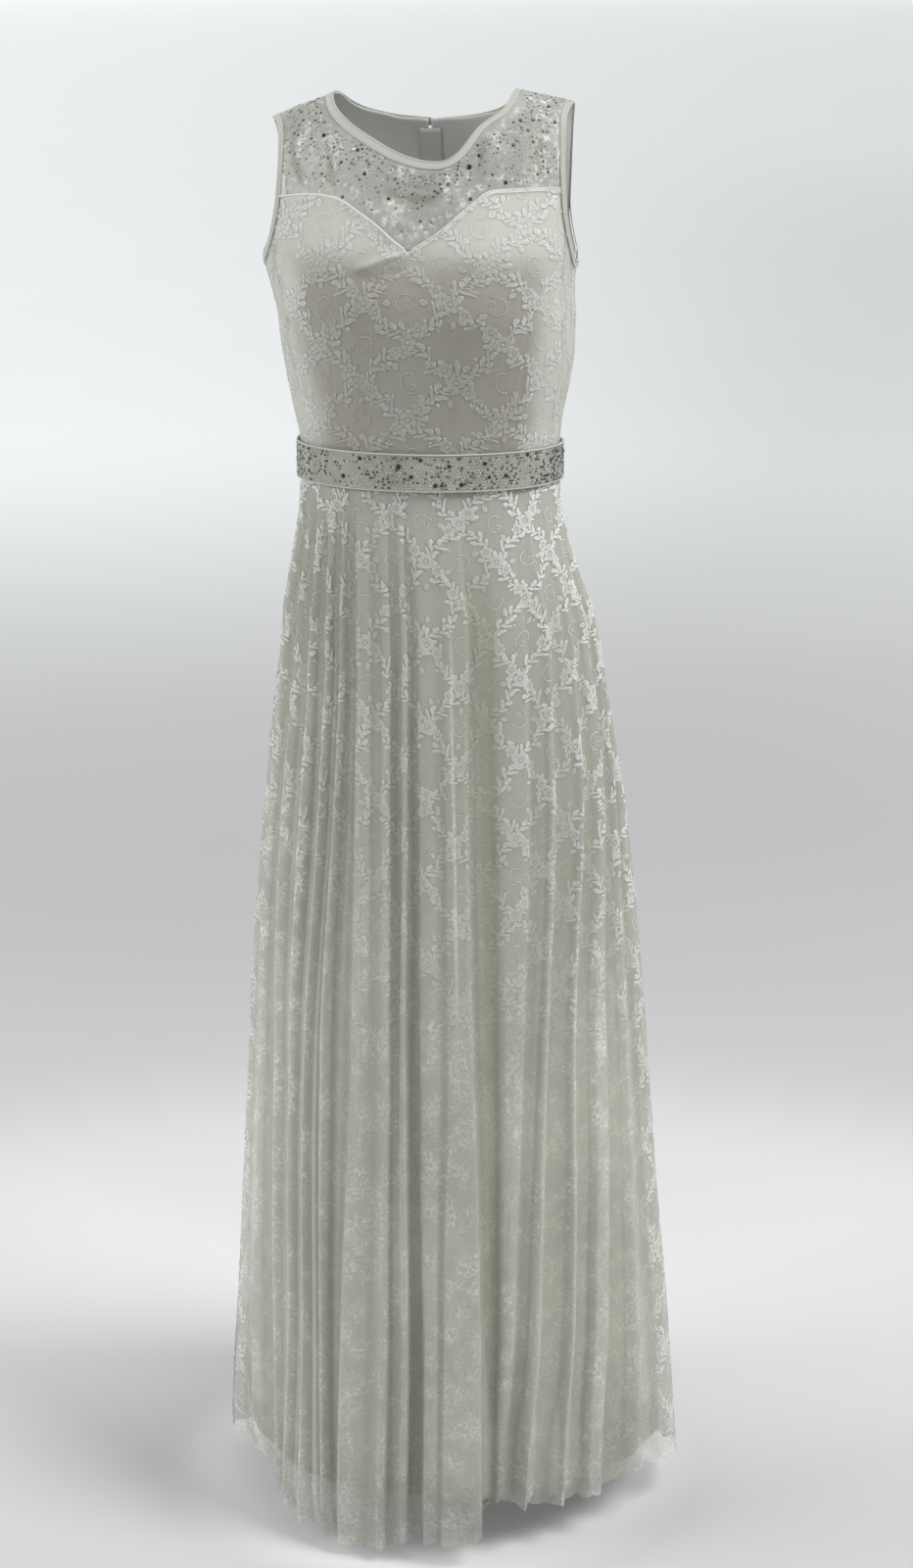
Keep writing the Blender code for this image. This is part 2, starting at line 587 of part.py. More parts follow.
def cloth(surface, s, z, thick):
    """Outer and inner points of a skirt cloth."""
    n = frame_of(surface, s, z, 0.02, 0.002)[2]
    n = n * np.sign((n[..., :2] * surface(s, z)[..., :2]).sum(-1, keepdims=True))
    outer = surface(s, z)
    return outer, outer - n * thick


def skirt_rows(turn):
    """Heights of the rows of a skirt cloth at this turn, down to the lace hem."""
    top = WAIST - 0.0003
    return top + (hem_line(turn)[None, :] - top) * np.array(SKIRT_ROWS)[:, None]


def skirt_panel(name, first, last, per_fold, hem, surface, thick, material):
    """hem, if it isn't 0, is the height of a level hem in place of the lace's."""
    count = int(round((last - first) * per_fold))
    s = np.linspace(first, last, count + 1)
    z = skirt_rows(fold_at(s, 0.012)[0])
    if hem:
        z[-1] = hem
    s = np.repeat(s[None], len(SKIRT_ROWS), 0)
    # the seam gap, as a shift of the first and last columns
    gap = SEAM / 0.2
    for col, way in ((0, 1), (-1, -1)):
        near = fold_at(s[:, col] + way * 0.05, z[:, col])[0]
        here = fold_at(s[:, col], z[:, col])[0]
        s[:, col] += way * 0.05 * gap * 1.2 / np.maximum(np.abs(near - here), 1e-6)
    outer, inner = cloth(surface, s, z, thick)
    return wall(name, outer, inner, material)


def hem_line(turn):
    turn = np.degrees(np.mod(np.asarray(turn) + HALF_PI, 2 * math.pi) - HALF_PI)
    return curve(column(LACE_HEM, "turn"), column(LACE_HEM, "z"), turn)


def skirt():
    spans = (("front", 0, FRONT_LAST), ("back_left", FRONT_LAST, BACK_MIDDLE), ("back_right", BACK_MIDDLE, LAST))
    for name, first, last in spans:
        skirt_panel(f"skirt_lace_{name}", first, last, 2, 0, pleated, LACE_WALL, "lace")
        skirt_panel(f"skirt_lining_{name}", first, last, 1, LINING_HEM, lining_point, LINING_WALL, "lining")


# ---------------------------------------------------------------- zip
def behind_bodice(w, inset):
    """Centre back, this far inside the bodice."""
    return torso(math.pi, w) - frame_of(torso, np.array(math.pi), np.array(w))[2] * inset


def behind_lining(z, inset):
    """Centre back, this far inside the skirt lining."""
    return lining_point(float(BACK_MIDDLE), z) - np.array([0.0, 1.0, 0.0]) * (inset + LINING_WALL)


def zip_parts():
    middle = float(section(TORSO, "cx", ARMPIT))
    neck_w = float(over_of(middle, min(row[1] for row in NECK_BACK[1:])))
    levels = [(behind_bodice, float(over_of(middle, ZIP_TOP)), 0.7)]
    levels += [(behind_bodice, float(back_row(np.array(neck_w), v)), 0.7) for v in BACK_ROWS[::-1][1:]]
    levels += [(behind_lining, float(z), 1.5) for z in skirt_rows(np.array([math.pi]))[1:ZIP_ROWS, 0]]
    out, back = [], []
    for place, level, bow in levels:
        # the tape bows with the panels
        a, b = place(level, 0.9 * MM), place(level, 1.8 * MM)
        out.append([a + (-ZIP_HALF, -bow * MM, 0), a, a + (ZIP_HALF, -bow * MM, 0)])
        back.append([b + (-ZIP_HALF, -bow * MM, 0), b, b + (ZIP_HALF, -bow * MM, 0)])
    wall("zip_tape", np.array(out), np.array(back), "zip")

    z = SLIDER["z"]
    x0 = float(section(TORSO, "cx", ARMPIT))
    w = float(over_of(x0, z))
    at = raised(np.array(math.pi), np.array(w), np.array(BACK_WALL + SLIDER["stand"]))
    n = frame_of(torso, np.array(math.pi), np.array(w))[2]
    lean = math.atan2(-n[2], n[1])  # the cloth leans in towards the neck
    eye = EYE_RIM + 0.25 * MM  # height of the pin over the slider's face
    pin_y = SLIDER["deep"] + eye

    def place(obj):
        obj.rotation_euler = (-lean, 0, 0)
        obj.location = (float(at[0]), float(at[1]), float(at[2]) - SHOULDER)

    def block(name, sx, sy, sz, centre):
        corners = [(centre[0] + sx * i / 2, centre[1] + sy * j / 2, centre[2] + sz * k / 2) for i in (-1, 1) for j in (-1, 1) for k in (-1, 1)]
        faces = [(0, 1, 3, 2), (4, 6, 7, 5), (0, 4, 5, 1), (2, 3, 7, 6), (0, 2, 6, 4), (1, 5, 7, 3)]
        return helper(name, corners, faces)

    def rod(name, radius, length, centre, sides=16):
        pts, faces = [], []
        for end in (-1, 1):
            for k in range(sides):
                a = 2 * math.pi * k / sides
                pts.append((centre[0] + end * length / 2, centre[1] + radius * math.cos(a), centre[2] + radius * math.sin(a)))
        faces = [tuple(range(sides))[::-1], tuple(range(sides, 2 * sides))]
        faces += [(k, (k + 1) % sides, sides + (k + 1) % sides, sides + k) for k in range(sides)]
        return helper(name, pts, faces)

    def helper(name, pts, faces):
        mesh = bpy.data.meshes.new(name)
        mesh.from_pydata(pts, [], faces)
        work = bmesh.new()
        work.from_mesh(mesh)
        bmesh.ops.recalc_face_normals(work, faces=work.faces)
        work.to_mesh(mesh)
        work.free()
        obj = bpy.data.objects.new(name, mesh)
        obj.hide_render = True
        obj.display_type = "WIRE"
        CUTTERS.objects.link(obj)
        return obj

    def combine(name, base, steps, material):
        mesh = base.data.copy()
        obj = bpy.data.objects.new(name, mesh)
        PARTS.objects.link(obj)
        for other, how in steps:
            m = obj.modifiers.new(how.lower(), "BOOLEAN")
            m.operation, m.solver, m.object = how, "EXACT", other
            place(other)
        place(obj)
        mesh.materials.append(slot(material))
        return obj

    half = PULL["wide"] / 2
    cheek = 1.1 * MM
    tall = 2 * EYE_RIM + 0.2 * MM
    top_z = 2.2 * MM
    body = block("slider_body", SLIDER["wide"], SLIDER["deep"], SLIDER["tall"], (0, SLIDER["deep"] / 2, 0))
    place(body)
    steps = []
    for k, way in (("a", -1), ("b", 1)):
        x = way * (half + 0.3 * MM + cheek / 2)
        steps.append((block(f"slider_cheek_{k}", cheek, eye + 0.9 * MM + 0.4 * MM, tall, (x, SLIDER["deep"] + (eye + 0.9 * MM - 0.4 * MM) / 2, top_z)), "UNION"))
    steps.append((rod("slider_pin", PIN_RADIUS, PULL["wide"] + 0.6 * MM + cheek, (0, pin_y, top_z)), "UNION"))
    combine("zip_slider", body, steps, "metal")

    rim = rod("pull_rim", EYE_RIM, PULL["wide"], (0, pin_y, top_z), 20)
    place(rim)
    tab = block("pull_tab", PULL["wide"], PULL["thick"], PULL["long"], (0, pin_y, top_z - 0.8 * MM - PULL["long"] / 2))
    hole = rod("pull_hole", EYE_RADIUS, PULL["wide"] + 2 * MM, (0, pin_y, top_z), 20)
    combine("zip_pull", rim, [(tab, "UNION"), (hole, "DIFFERENCE")], "metal_pull")


def main():
    global PARTS, CUTTERS
    for obj in list(bpy.data.objects):
        bpy.data.objects.remove(obj, do_unlink=True)
    PARTS = bpy.data.collections.new("evening_dress")
    CUTTERS = bpy.data.collections.new("cutters")
    CUTTERS.hide_render = True
    bpy.context.scene.collection.children.link(PARTS)
    bpy.context.scene.collection.children.link(CUTTERS)
    bodice_front()
    yoke()
    back_panels()
    bindings()
    belt()
    skirt()
    zip_parts()


CUTTERS = None
main()
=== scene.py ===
"""Looks of the evening dress: lace over a lining, a sheer yoke with stones, a stone belt and a
pleated lace skirt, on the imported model's frame.

Metres, +Z up, front towards -Y. The tables give heights above the floor; the model's origin is
between the shoulder seams, SHOULDER above the floor."""

import math

import bmesh
import bpy
import numpy as np
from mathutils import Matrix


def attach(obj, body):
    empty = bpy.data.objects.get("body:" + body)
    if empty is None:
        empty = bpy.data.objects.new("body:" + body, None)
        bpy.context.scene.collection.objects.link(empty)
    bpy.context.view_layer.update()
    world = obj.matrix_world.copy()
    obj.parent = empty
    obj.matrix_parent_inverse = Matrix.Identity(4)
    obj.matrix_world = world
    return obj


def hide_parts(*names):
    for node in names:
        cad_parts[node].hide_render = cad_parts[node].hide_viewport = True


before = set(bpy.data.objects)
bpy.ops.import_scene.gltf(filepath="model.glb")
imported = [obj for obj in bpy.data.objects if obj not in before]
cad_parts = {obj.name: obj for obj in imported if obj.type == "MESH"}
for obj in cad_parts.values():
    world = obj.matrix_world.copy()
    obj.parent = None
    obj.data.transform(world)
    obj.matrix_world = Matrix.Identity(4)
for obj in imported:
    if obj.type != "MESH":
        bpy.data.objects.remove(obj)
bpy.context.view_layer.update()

# ---------------------------------------------------------------- sizes, as in the model
MM = 0.001
SHOULDER = 1.470  # height of the origin above the floor
ARMPIT = 1.330  # above this level the torso closes over the shoulders
WAIST = 1.120  # waist seam, under the belt
SEAM = 0.0004  # half gap left along a seam
LINING_WALL = 1.0 * MM
LACE_WALL = 1.0 * MM
LACE_LIFT = 1.3 * MM  # lace over the lining: inner face
BACK_WALL = 1.2 * MM
YOKE_LIFT = 0.3 * MM
YOKE_WALL = 1.0 * MM
BINDING_WALL = 1.5 * MM
NECK_BINDING = 10.0 * MM
ARM_BINDING = 6.5 * MM
BELT_TOP, BELT_BOTTOM, BELT_WALL = 1.1385, 1.1005, 1.5 * MM
RIDGE_Y = 0.005
HALF_PI = math.pi / 2

# Torso sections: height, centre x, half width, depth in front, depth behind.
TORSO = (
    ("z", "cx", "half", "front", "back"),
    (1.1000, 0.000, 0.1290, 0.0985, 0.0912),
    (1.1200, 0.000, 0.1295, 0.0985, 0.0915),
    (1.1460, 0.000, 0.1312, 0.1003, 0.0930),
    (1.1660, -0.001, 0.1345, 0.1030, 0.0945),
    (1.1850, -0.001, 0.1385, 0.1060, 0.0960),
    (1.2050, -0.001, 0.1425, 0.1085, 0.0980),
    (1.2250, -0.001, 0.1455, 0.1105, 0.1000),
    (1.2450, -0.002, 0.1475, 0.1120, 0.1020),
    (1.2700, -0.003, 0.1490, 0.1130, 0.1040),
    (1.2950, -0.0065, 0.1515, 0.1125, 0.1060),
    (1.3200, -0.009, 0.1560, 0.1100, 0.1075),
    (1.3300, -0.009, 0.1575, 0.1090, 0.1080),
)
# Height of the shoulder ridge across the body.
SHOULDERS = (
    ("x", "z"),
    (-0.175, 1.4480),
    (-0.158, 1.4570),
    (-0.095, 1.4815),
    (-0.050, 1.4960),
    (0.000, 1.5020),
    (0.050, 1.4970),
    (0.088, 1.4850),
    (0.1445, 1.4730),
    (0.165, 1.4660),
)
CUPS = (("x", "z", "across", "up", "lift"), (-0.078, 1.284, 0.046, 0.040, 0.0135), (0.070, 1.286, 0.046, 0.040, 0.0135))
# Edges drawn on the torso: x, height. RIDGE marks the shoulder ridge.
RIDGE = 9.0
NECK_FRONT = (
    ("x", "z"),
    (-0.0960, RIDGE),
    (-0.0900, 1.4720),
    (-0.0755, 1.4590),
    (-0.0560, 1.4470),
    (-0.0270, 1.4320),
    (-0.0060, 1.4240),
    (0.0190, 1.4200),
    (0.0330, 1.4245),
    (0.0445, 1.4370),
    (0.0520, 1.4490),
    (0.0627, 1.4590),
    (0.0790, 1.4700),
    (0.0870, RIDGE),
)
NECK_BACK = (("x", "z"), (0.0870, RIDGE), (0.0740, 1.4690), (0.0400, 1.4570), (-0.0030, 1.4530), (-0.0460, 1.4570), (-0.0820, 1.4690), (-0.0960, RIDGE))
SWEETHEART = (
    ("x", "z"),
    (-0.1445, 1.3840),
    (-0.1121, 1.3882),
    (-0.0906, 1.3878),
    (-0.0742, 1.3843),
    (-0.0563, 1.3741),
    (-0.0377, 1.3619),
    (-0.0197, 1.3472),
    (-0.0065, 1.3379),
    (0.0062, 1.3452),
    (0.0249, 1.3579),
    (0.0416, 1.3724),
    (0.0559, 1.3844),
    (0.0680, 1.3932),
    (0.0846, 1.3951),
    (0.1132, 1.3957),
    (0.1371, 1.3941),
)
SWEETHEART_POINT = 7  # row of the point between the cups
ARM_RIGHT_FRONT = (("x", "z"), (-0.1585, RIDGE), (-0.1485, 1.4480), (-0.1452, 1.4320), (-0.1445, 1.4110), (-0.1445, 1.3840))
ARM_RIGHT_UNDER = (("turn", "z"), (-59.4, 1.3840), (-61.5, 1.3640), (-66.5, 1.3400), (-76.0, 1.3250), (-90.0, 1.3216))
ARM_LEFT_FRONT = (("x", "z"), (0.1445, RIDGE), (0.1378, 1.4640), (0.1367, 1.4480), (0.1367, 1.4270), (0.1368, 1.4100), (0.1371, 1.3941))
ARM_LEFT_UNDER = (("turn", "z"), (68.1, 1.3941), (69.6, 1.3700), (73.5, 1.3460), (79.0, 1.3280), (90.0, 1.3216))
ARM_RIGHT_BACK = (("turn", "z"), (-90.0, 1.3216), (-104.0, 1.3270), (-113.0, 1.3480), (-118.0, 1.3800), (-118.5, 1.4150), (-114.0, 1.4420), (-108.3, RIDGE))
ARM_LEFT_BACK = (("turn", "z"), (90.0, 1.3216), (102.0, 1.3270), (110.0, 1.3480), (113.5, 1.3800), (113.0, 1.4200), (109.0, 1.4520), (103.0, RIDGE))

# Outer face of the lace skirt on the crest of its folds.
SKIRT = (
    ("z", "cx", "half", "front", "back"),
    (1.1200, 0.000, 0.1326, 0.1016, 0.0946),
    (1.1000, 0.000, 0.1329, 0.1019, 0.0951),
    (1.0850, 0.000, 0.1337, 0.1032, 0.0968),
    (1.0440, 0.001, 0.1400, 0.1100, 0.1080),
    (1.0040, 0.004, 0.1505, 0.1180, 0.1200),
    (0.9620, 0.008, 0.1618, 0.1270, 0.1320),
    (0.9210, 0.010, 0.1680, 0.1340, 0.1400),
    (0.8790, 0.011, 0.1743, 0.1410, 0.1465),
    (0.8370, 0.012, 0.1808, 0.1480, 0.1530),
    (0.7530, 0.014, 0.1920, 0.1620, 0.1660),
    (0.6670, 0.015, 0.2010, 0.1760, 0.1800),
    (0.5800, 0.016, 0.2092, 0.1890, 0.1930),
    (0.4920, 0.018, 0.2162, 0.2030, 0.2060),
    (0.4030, 0.019, 0.2236, 0.2150, 0.2180),
    (0.3130, 0.020, 0.2304, 0.2240, 0.2280),
    (0.2210, 0.022, 0.2372, 0.2330, 0.2360),
    (0.1280, 0.023, 0.2434, 0.2405, 0.2440),
    (0.0340, 0.024, 0.2500, 0.2460, 0.2500),
    (0.0120, 0.024, 0.2510, 0.2465, 0.2510),
)
# Folds of the front, round from the wearer's right seam (-90) to the left seam (90). turn_* is
# the angle at five heights in FOLD_LEVELS, mid and hem the depth below the crests in mm.
FOLD_LEVELS = (1.10, 0.837, 0.58, 0.313, 0.014)
FOLD_GROWTH = (("z", "share"), (0.010, 1.0), (0.313, 0.82), (0.58, 0.62), (0.837, 0.40), (0.96, 0.24), (1.06, 0.09), (1.10, 0.04), (1.13, 0.03))
FRONT_FOLDS = (
    ("turn_waist", "turn_hip", "turn_knee", "turn_shin", "turn_hem", "mid", "hem"),
    (-90.0, -90.0, -90.0, -90.0, -90.0, 3, 3),
    (-81.0, -81.0, -80.5, -80.0, -79.0, 10, 19),
    (-72.0, -71.5, -70.5, -69.0, -67.0, 3, 18),
    (-66.0, -64.0, -62.0, -56.0, -50.5, 11, 26),
    (-60.5, -57.5, -55.5, -50.3, -46.8, 4, 13),
    (-55.5, -51.0, -49.0, -45.8, -43.8, 9, 16),
    (-50.5, -45.5, -44.5, -42.0, -40.8, 2, 6),
    (-46.3, -41.0, -40.4, -38.6, -37.7, 9, 11),
    (-42.0, -37.0, -37.2, -35.4, -34.4, 2, 2),
    (-38.2, -33.6, -34.6, -32.6, -31.0, 8, 9),
    (-34.5, -30.4, -31.4, -28.8, -26.8, 1, 1),
    (-30.0, -26.0, -25.2, -24.8, -24.4, 9, 12),
    (-25.5, -21.5, -18.6, -20.7, -21.9, 0, 0),
    (-19.3, -16.7, -14.6, -14.8, -15.4, 5, 5),
    (-13.7, -12.6, -10.6, -10.2, -10.7, 1, 0),
    (-10.2, -9.4, -8.1, -8.1, -8.9, 8, 8),
    (-6.7, -6.6, -6.0, -5.0, -5.6, 2, 2),
    (-2.4, -2.9, -2.4, -1.7, -2.2, 17, 25),
    (2.6, 0.8, 1.2, 1.6, 0.4, 5, 4),
    (7.2, 5.3, 5.6, 4.5, 2.9, 7, 6),
    (12.2, 9.7, 9.8, 7.9, 5.7, 0, 0),
    (17.5, 13.2, 12.9, 14.0, 13.6, 0, 0),
    (24.6, 18.5, 18.2, 18.2, 16.9, 17, 28),
    (40.0, 32.0, 27.0, 22.5, 19.2, 3, 20),
    (46.5, 38.5, 32.0, 26.2, 21.3, 11, 22),
    (54.0, 44.0, 36.6, 30.6, 24.3, 0, 0),
    (61.0, 51.0, 41.2, 36.0, 29.4, 14, 17),
    (67.0, 57.6, 46.0, 41.6, 35.0, 2, 2),
    (72.0, 64.0, 51.0, 46.2, 40.2, 12, 16),
    (76.5, 69.5, 56.4, 50.8, 45.8, 2, 2),
    (79.8, 74.5, 63.0, 57.2, 52.0, 11, 15),
    (82.3, 78.6, 69.6, 64.4, 60.2, 1, 0),
    (84.4, 82.0, 76.0, 72.4, 69.4, 8, 9),
    (87.2, 86.2, 83.4, 80.6, 79.0, 0, 0),
    (90.0, 90.0, 90.0, 90.0, 90.0, 4, 5),
)
BACK_FOLDS = 20  # crests and hollows from side seam to side seam behind
BACK_DEPTH = 14.0  # mm, hollow at the hem behind
LACE_HEM = (("turn", "z"), (-90, 0.028), (-82, 0.031), (-74, 0.038), (-67, 0.045), (-60, 0.046), (-53, 0.041), (-46, 0.033), (-38, 0.024), (-28, 0.015), (-20, 0.013), (-12, 0.012), (-6, 0.020), (0, 0.024), (10, 0.024), (14, 0.034), (18, 0.052), (25, 0.053), (32, 0.048), (46, 0.048), (54, 0.052), (62, 0.062), (70, 0.055), (80, 0.043), (90, 0.034), (112, 0.030), (140, 0.023), (180, 0.022), (225, 0.024), (250, 0.027), (270, 0.028))
LINING_HEM = 0.070
SKIRT_ROWS = (0.0, 0.03, 0.10, 0.20, 0.36, 0.57, 0.79, 1.0)
BACK_ROWS = (0.0, 0.18, 0.36, 0.54, 0.68, 0.80, 0.90, 1.0)

ZIP_TOP, ZIP_HALF = 1.4460, 11.0 * MM
ZIP_ROWS = 4  # the zip ends this many skirt rows down
SLIDER = {"wide": 8.0 * MM, "tall": 9.0 * MM, "deep": 2.4 * MM, "stand": 0.4 * MM, "z": 1.4310}
PIN_RADIUS, EYE_RADIUS, EYE_RIM = 0.60 * MM, 0.66 * MM, 1.50 * MM
PULL = {"wide": 3.6 * MM, "thick": 1.2 * MM, "long": 21.0 * MM}


def column(table, name):
    return np.array([row[table[0].index(name)] for row in table[1:]], float)


def curve(xs, ys, x):
    """A smooth line through the rows, flat at each of their peaks."""
    step = np.diff(xs)
    rise = np.diff(ys) / step
    slope = np.concatenate([rise[:1], (rise[:-1] * step[1:] + rise[1:] * step[:-1]) / (step[1:] + step[:-1]), rise[-1:]])
    slope[1:-1] = np.where(rise[:-1] * rise[1:] <= 0, 0.0, slope[1:-1])
    x = np.clip(x, xs[0], xs[-1])
    i = np.clip(np.searchsorted(xs, x, side="right") - 1, 0, len(xs) - 2)
    t = (x - xs[i]) / step[i]
    return (
        ys[i] * (1 + 2 * t) * (1 - t) ** 2
        + slope[i] * step[i] * t * (1 - t) ** 2
        + ys[i + 1] * t * t * (3 - 2 * t)
        + slope[i + 1] * step[i] * t * t * (t - 1)
    )


def section(table, name, z):
    heights, values = column(table, "z"), column(table, name)
    order = np.argsort(heights)
    return curve(heights[order], values[order], z)


def ridge(x):
    return curve(column(SHOULDERS, "x"), column(SHOULDERS, "z"), x)


def torso(turn, w):
    """Point of the torso. turn is 0 in front and a quarter turn at +X. w below 0 is metres
    under the armpit; above 0 it is the angle over the shoulder, a right angle on the ridge,
    and more on the far side."""
    turn, w = np.broadcast_arrays(np.asarray(turn, float), np.asarray(w, float))
    far = w > HALF_PI
    turn, w = np.where(far, math.pi - turn, turn), np.where(far, math.pi - w, w)
    up = np.clip(w, 0.0, HALF_PI)
    low = ARMPIT + np.minimum(w, 0.0)
    c = np.cos(turn)
    x = section(TORSO, "cx", low) + section(TORSO, "half", low) * np.sin(turn)
    depth = np.where(c >= 0, section(TORSO, "front", low), section(TORSO, "back", low))
    z = low + (ridge(x) - ARMPIT) * np.sin(up)
    y = -depth * c
    for cx, cz, across, rise, lift in CUPS[1:]:
        y = y - np.where(c > 0, lift * np.exp(-((x - cx) ** 2) / (2 * across**2) - (z - cz) ** 2 / (2 * rise**2)) * np.clip(c * 2.2, 0, 1), 0.0)
    close = np.sqrt(np.clip(1.0 - np.sin(up) ** 1.5, 0.0, 1.0))
    y = np.where(up > 0, RIDGE_Y + (y - RIDGE_Y) * close, y)
    return np.stack([x, y, z], -1)


def turn_of(x, z):
    low = np.minimum(z, ARMPIT)
    return np.arcsin(np.clip((x - section(TORSO, "cx", low)) / section(TORSO, "half", low), -1, 1))


def over_of(x, z):
    """w of a height, at this x."""
    over = np.arcsin(np.clip((z - ARMPIT) / (ridge(x) - ARMPIT), 0, 1))
    return np.where(z <= ARMPIT, z - ARMPIT, over)


def frame_of(surface, a, b, da=0.002, db=0.002):
    pa = (surface(a + da, b) - surface(a - da, b)) / (2 * da)
    pb = (surface(a, b + db) - surface(a, b - db)) / (2 * db)
    n = np.cross(pa, pb)
    return pa, pb, n / np.linalg.norm(n, axis=-1, keepdims=True)


def raised(turn, w, lift):
    """The torso moved out along its normal."""
    return torso(turn, w) + frame_of(torso, turn, w)[2] * np.asarray(lift)[..., None]


def edge(table, far=False):
    """Rows of an edge as (turn, w)."""
    rows = []
    for a, z in table[1:]:
        if table[0][0] == "x":
            turn = float(turn_of(a, ARMPIT))
            x = a
        else:
            turn = math.radians(a)
            x = float(section(TORSO, "cx", ARMPIT) + section(TORSO, "half", ARMPIT) * math.sin(turn))
        w = HALF_PI if z == RIDGE else float(over_of(x, z))
        rows.append((turn, math.pi - w if far else w))
    return np.array(rows)


def spaced(rows, count, smooth=True):
    """count + 1 points along these rows, evenly apart on the torso."""
    rows = np.asarray(rows, float)
    k = np.arange(len(rows), dtype=float)
    fine = np.linspace(0, len(rows) - 1, 400)
    if smooth and len(rows) > 2:
        both = np.stack([curve(k, rows[:, 0], fine), curve(k, rows[:, 1], fine)], -1)
    else:
        both = np.stack([np.interp(fine, k, rows[:, 0]), np.interp(fine, k, rows[:, 1])], -1)
    points = torso(both[:, 0], both[:, 1])
    along = np.concatenate([[0], np.cumsum(np.linalg.norm(np.diff(points, axis=0), axis=1))])
    want = np.linspace(0, along[-1], count + 1)
    return np.stack([np.interp(want, along, both[:, 0]), np.interp(want, along, both[:, 1])], -1)


def joined(*parts):
    out = [parts[0]]
    for part in parts[1:]:
        out.append(part[1:])
    return np.concatenate(out)


def moved_in(path, width, side, closed=False):
    """The path moved across itself over the torso by width; side +1 or -1."""
    out = np.array(path, float)
    start = torso(out[:, 0], out[:, 1])
    along = np.roll(start, -1, 0) - np.roll(start, 1, 0)
    if not closed:
        along[0], along[-1] = start[1] - start[0], start[-1] - start[-2]
    for _ in range(4):
        pa, pb, n = frame_of(torso, out[:, 0], out[:, 1])
        go = np.cross(n, along)
        go = side * go / np.linalg.norm(go, axis=1, keepdims=True) * width / 4
        aa, ab, bb = (pa * pa).sum(1), (pa * pb).sum(1), (pb * pb).sum(1)
        ga, gb = (go * pa).sum(1), (go * pb).sum(1)
        det = aa * bb - ab * ab
        out = out + np.stack([(ga * bb - gb * ab) / det, (gb * aa - ga * ab) / det], -1)
    return out


def fold_table():
    """Turn (radians) of each fold at each level, and its depth in metres at the middle and hem."""
    front = np.array(FRONT_FOLDS[1:], float)
    turns, depth = np.radians(front[:, :5]), front[:, 5:] * MM
    back_t, back_d = [], []
    for k in range(1, BACK_FOLDS):
        sway = 1.3 * math.sin(2.3 * k) + 0.7 * math.sin(5.1 * k)
        centre = 90 + 180 * k / BACK_FOLDS
        if k == BACK_FOLDS // 2:
            sway = 0.0
        back_t.append([math.radians(centre + sway * s) for s in (0.3, 0.6, 0.8, 1.0, 1.1)])
        hollow = k % 2 == 1
        size = BACK_DEPTH * (0.85 + 0.3 * math.sin(1.7 * k)) if hollow else 2.0 + math.sin(2.9 * k)
        back_d.append([size * 0.8 * MM, size * MM])
    last = [math.radians(270)] * 5
    turns = np.concatenate([turns, back_t, [last]])
    depth = np.concatenate([depth, back_d, [depth[0]]])
    return turns, depth


TURNS, DEPTHS = fold_table()
FRONT_LAST = len(FRONT_FOLDS) - 2
BACK_MIDDLE = FRONT_LAST + BACK_FOLDS // 2
LAST = len(TURNS) - 1


def fold_at(s, z):
    """Turn and depth of the pleated cloth at fold coordinate s (whole numbers are the crests
    and hollows in TURNS) and height z."""
    s, z = np.broadcast_arrays(np.asarray(s, float), np.asarray(z, float))
    levels = np.array(FOLD_LEVELS)[::-1]
    wrapped = np.clip(s, 0, LAST)
    i = np.clip(np.floor(wrapped).astype(int), 0, LAST - 1)
    t = wrapped - i
    place = np.clip((z - levels[0]) / (levels[-1] - levels[0]), 0, 1)
    turn_a, turn_b = np.zeros(s.shape), np.zeros(s.shape)
    for k in range(LAST + 1):
        line = curve(levels, TURNS[k][::-1], z)
        turn_a = np.where(i == k, line, turn_a)
        turn_b = np.where(i + 1 == k, line, turn_b)
    mix = np.clip(place * 1.6, 0, 1)
    da = DEPTHS[i, 1] * (1 - mix) + DEPTHS[i, 0] * mix
    db = DEPTHS[i + 1, 1] * (1 - mix) + DEPTHS[i + 1, 0] * mix
    ease = 0.5 - 0.5 * np.cos(math.pi * t)
    return turn_a + (turn_b - turn_a) * t, da + (db - da) * ease


def growth(z):
    """How much of its hem depth a fold has at this height."""
    return section(FOLD_GROWTH, "share", z)


def pleated(s, z, share=1.0, inset=0.0):
    """Point of the skirt: crest line of SKIRT, less the fold's depth times share, less inset."""
    s, z = np.broadcast_arrays(np.asarray(s, float), np.asarray(z, float))
    turn, depth = fold_at(s, z)
    d = depth * growth(z) * share + inset
    c = np.cos(turn)
    x = section(SKIRT, "cx", z) + (section(SKIRT, "half", z) - d) * np.sin(turn)
    y = -(np.where(c >= 0, section(SKIRT, "front", z), section(SKIRT, "back", z)) - d) * c
    return np.stack([x, y, z], -1)


def lining_point(s, z):
    return pleated(s, z, 0.5, LACE_WALL + 0.45 * MM + 17.5 * MM * growth(z))


def skirt_rows(turn):
    """Heights of the rows of a skirt cloth at this turn, down to the lace hem."""
    top = WAIST - 0.0003
    return top + (hem_line(turn)[None, :] - top) * np.array(SKIRT_ROWS)[:, None]



def hem_line(turn):
    turn = np.degrees(np.mod(np.asarray(turn) + HALF_PI, 2 * math.pi) - HALF_PI)
    return curve(column(LACE_HEM, "turn"), column(LACE_HEM, "z"), turn)


def back_row(w_top, v):
    """w at the share v of the way up to w_top, on one scale below and above the armpit."""
    w = (WAIST + 0.0003 - ARMPIT) * (1 - v) + np.where(w_top > 0, w_top * 0.12, w_top) * v
    return np.where(w > 0, w / 0.12, w)


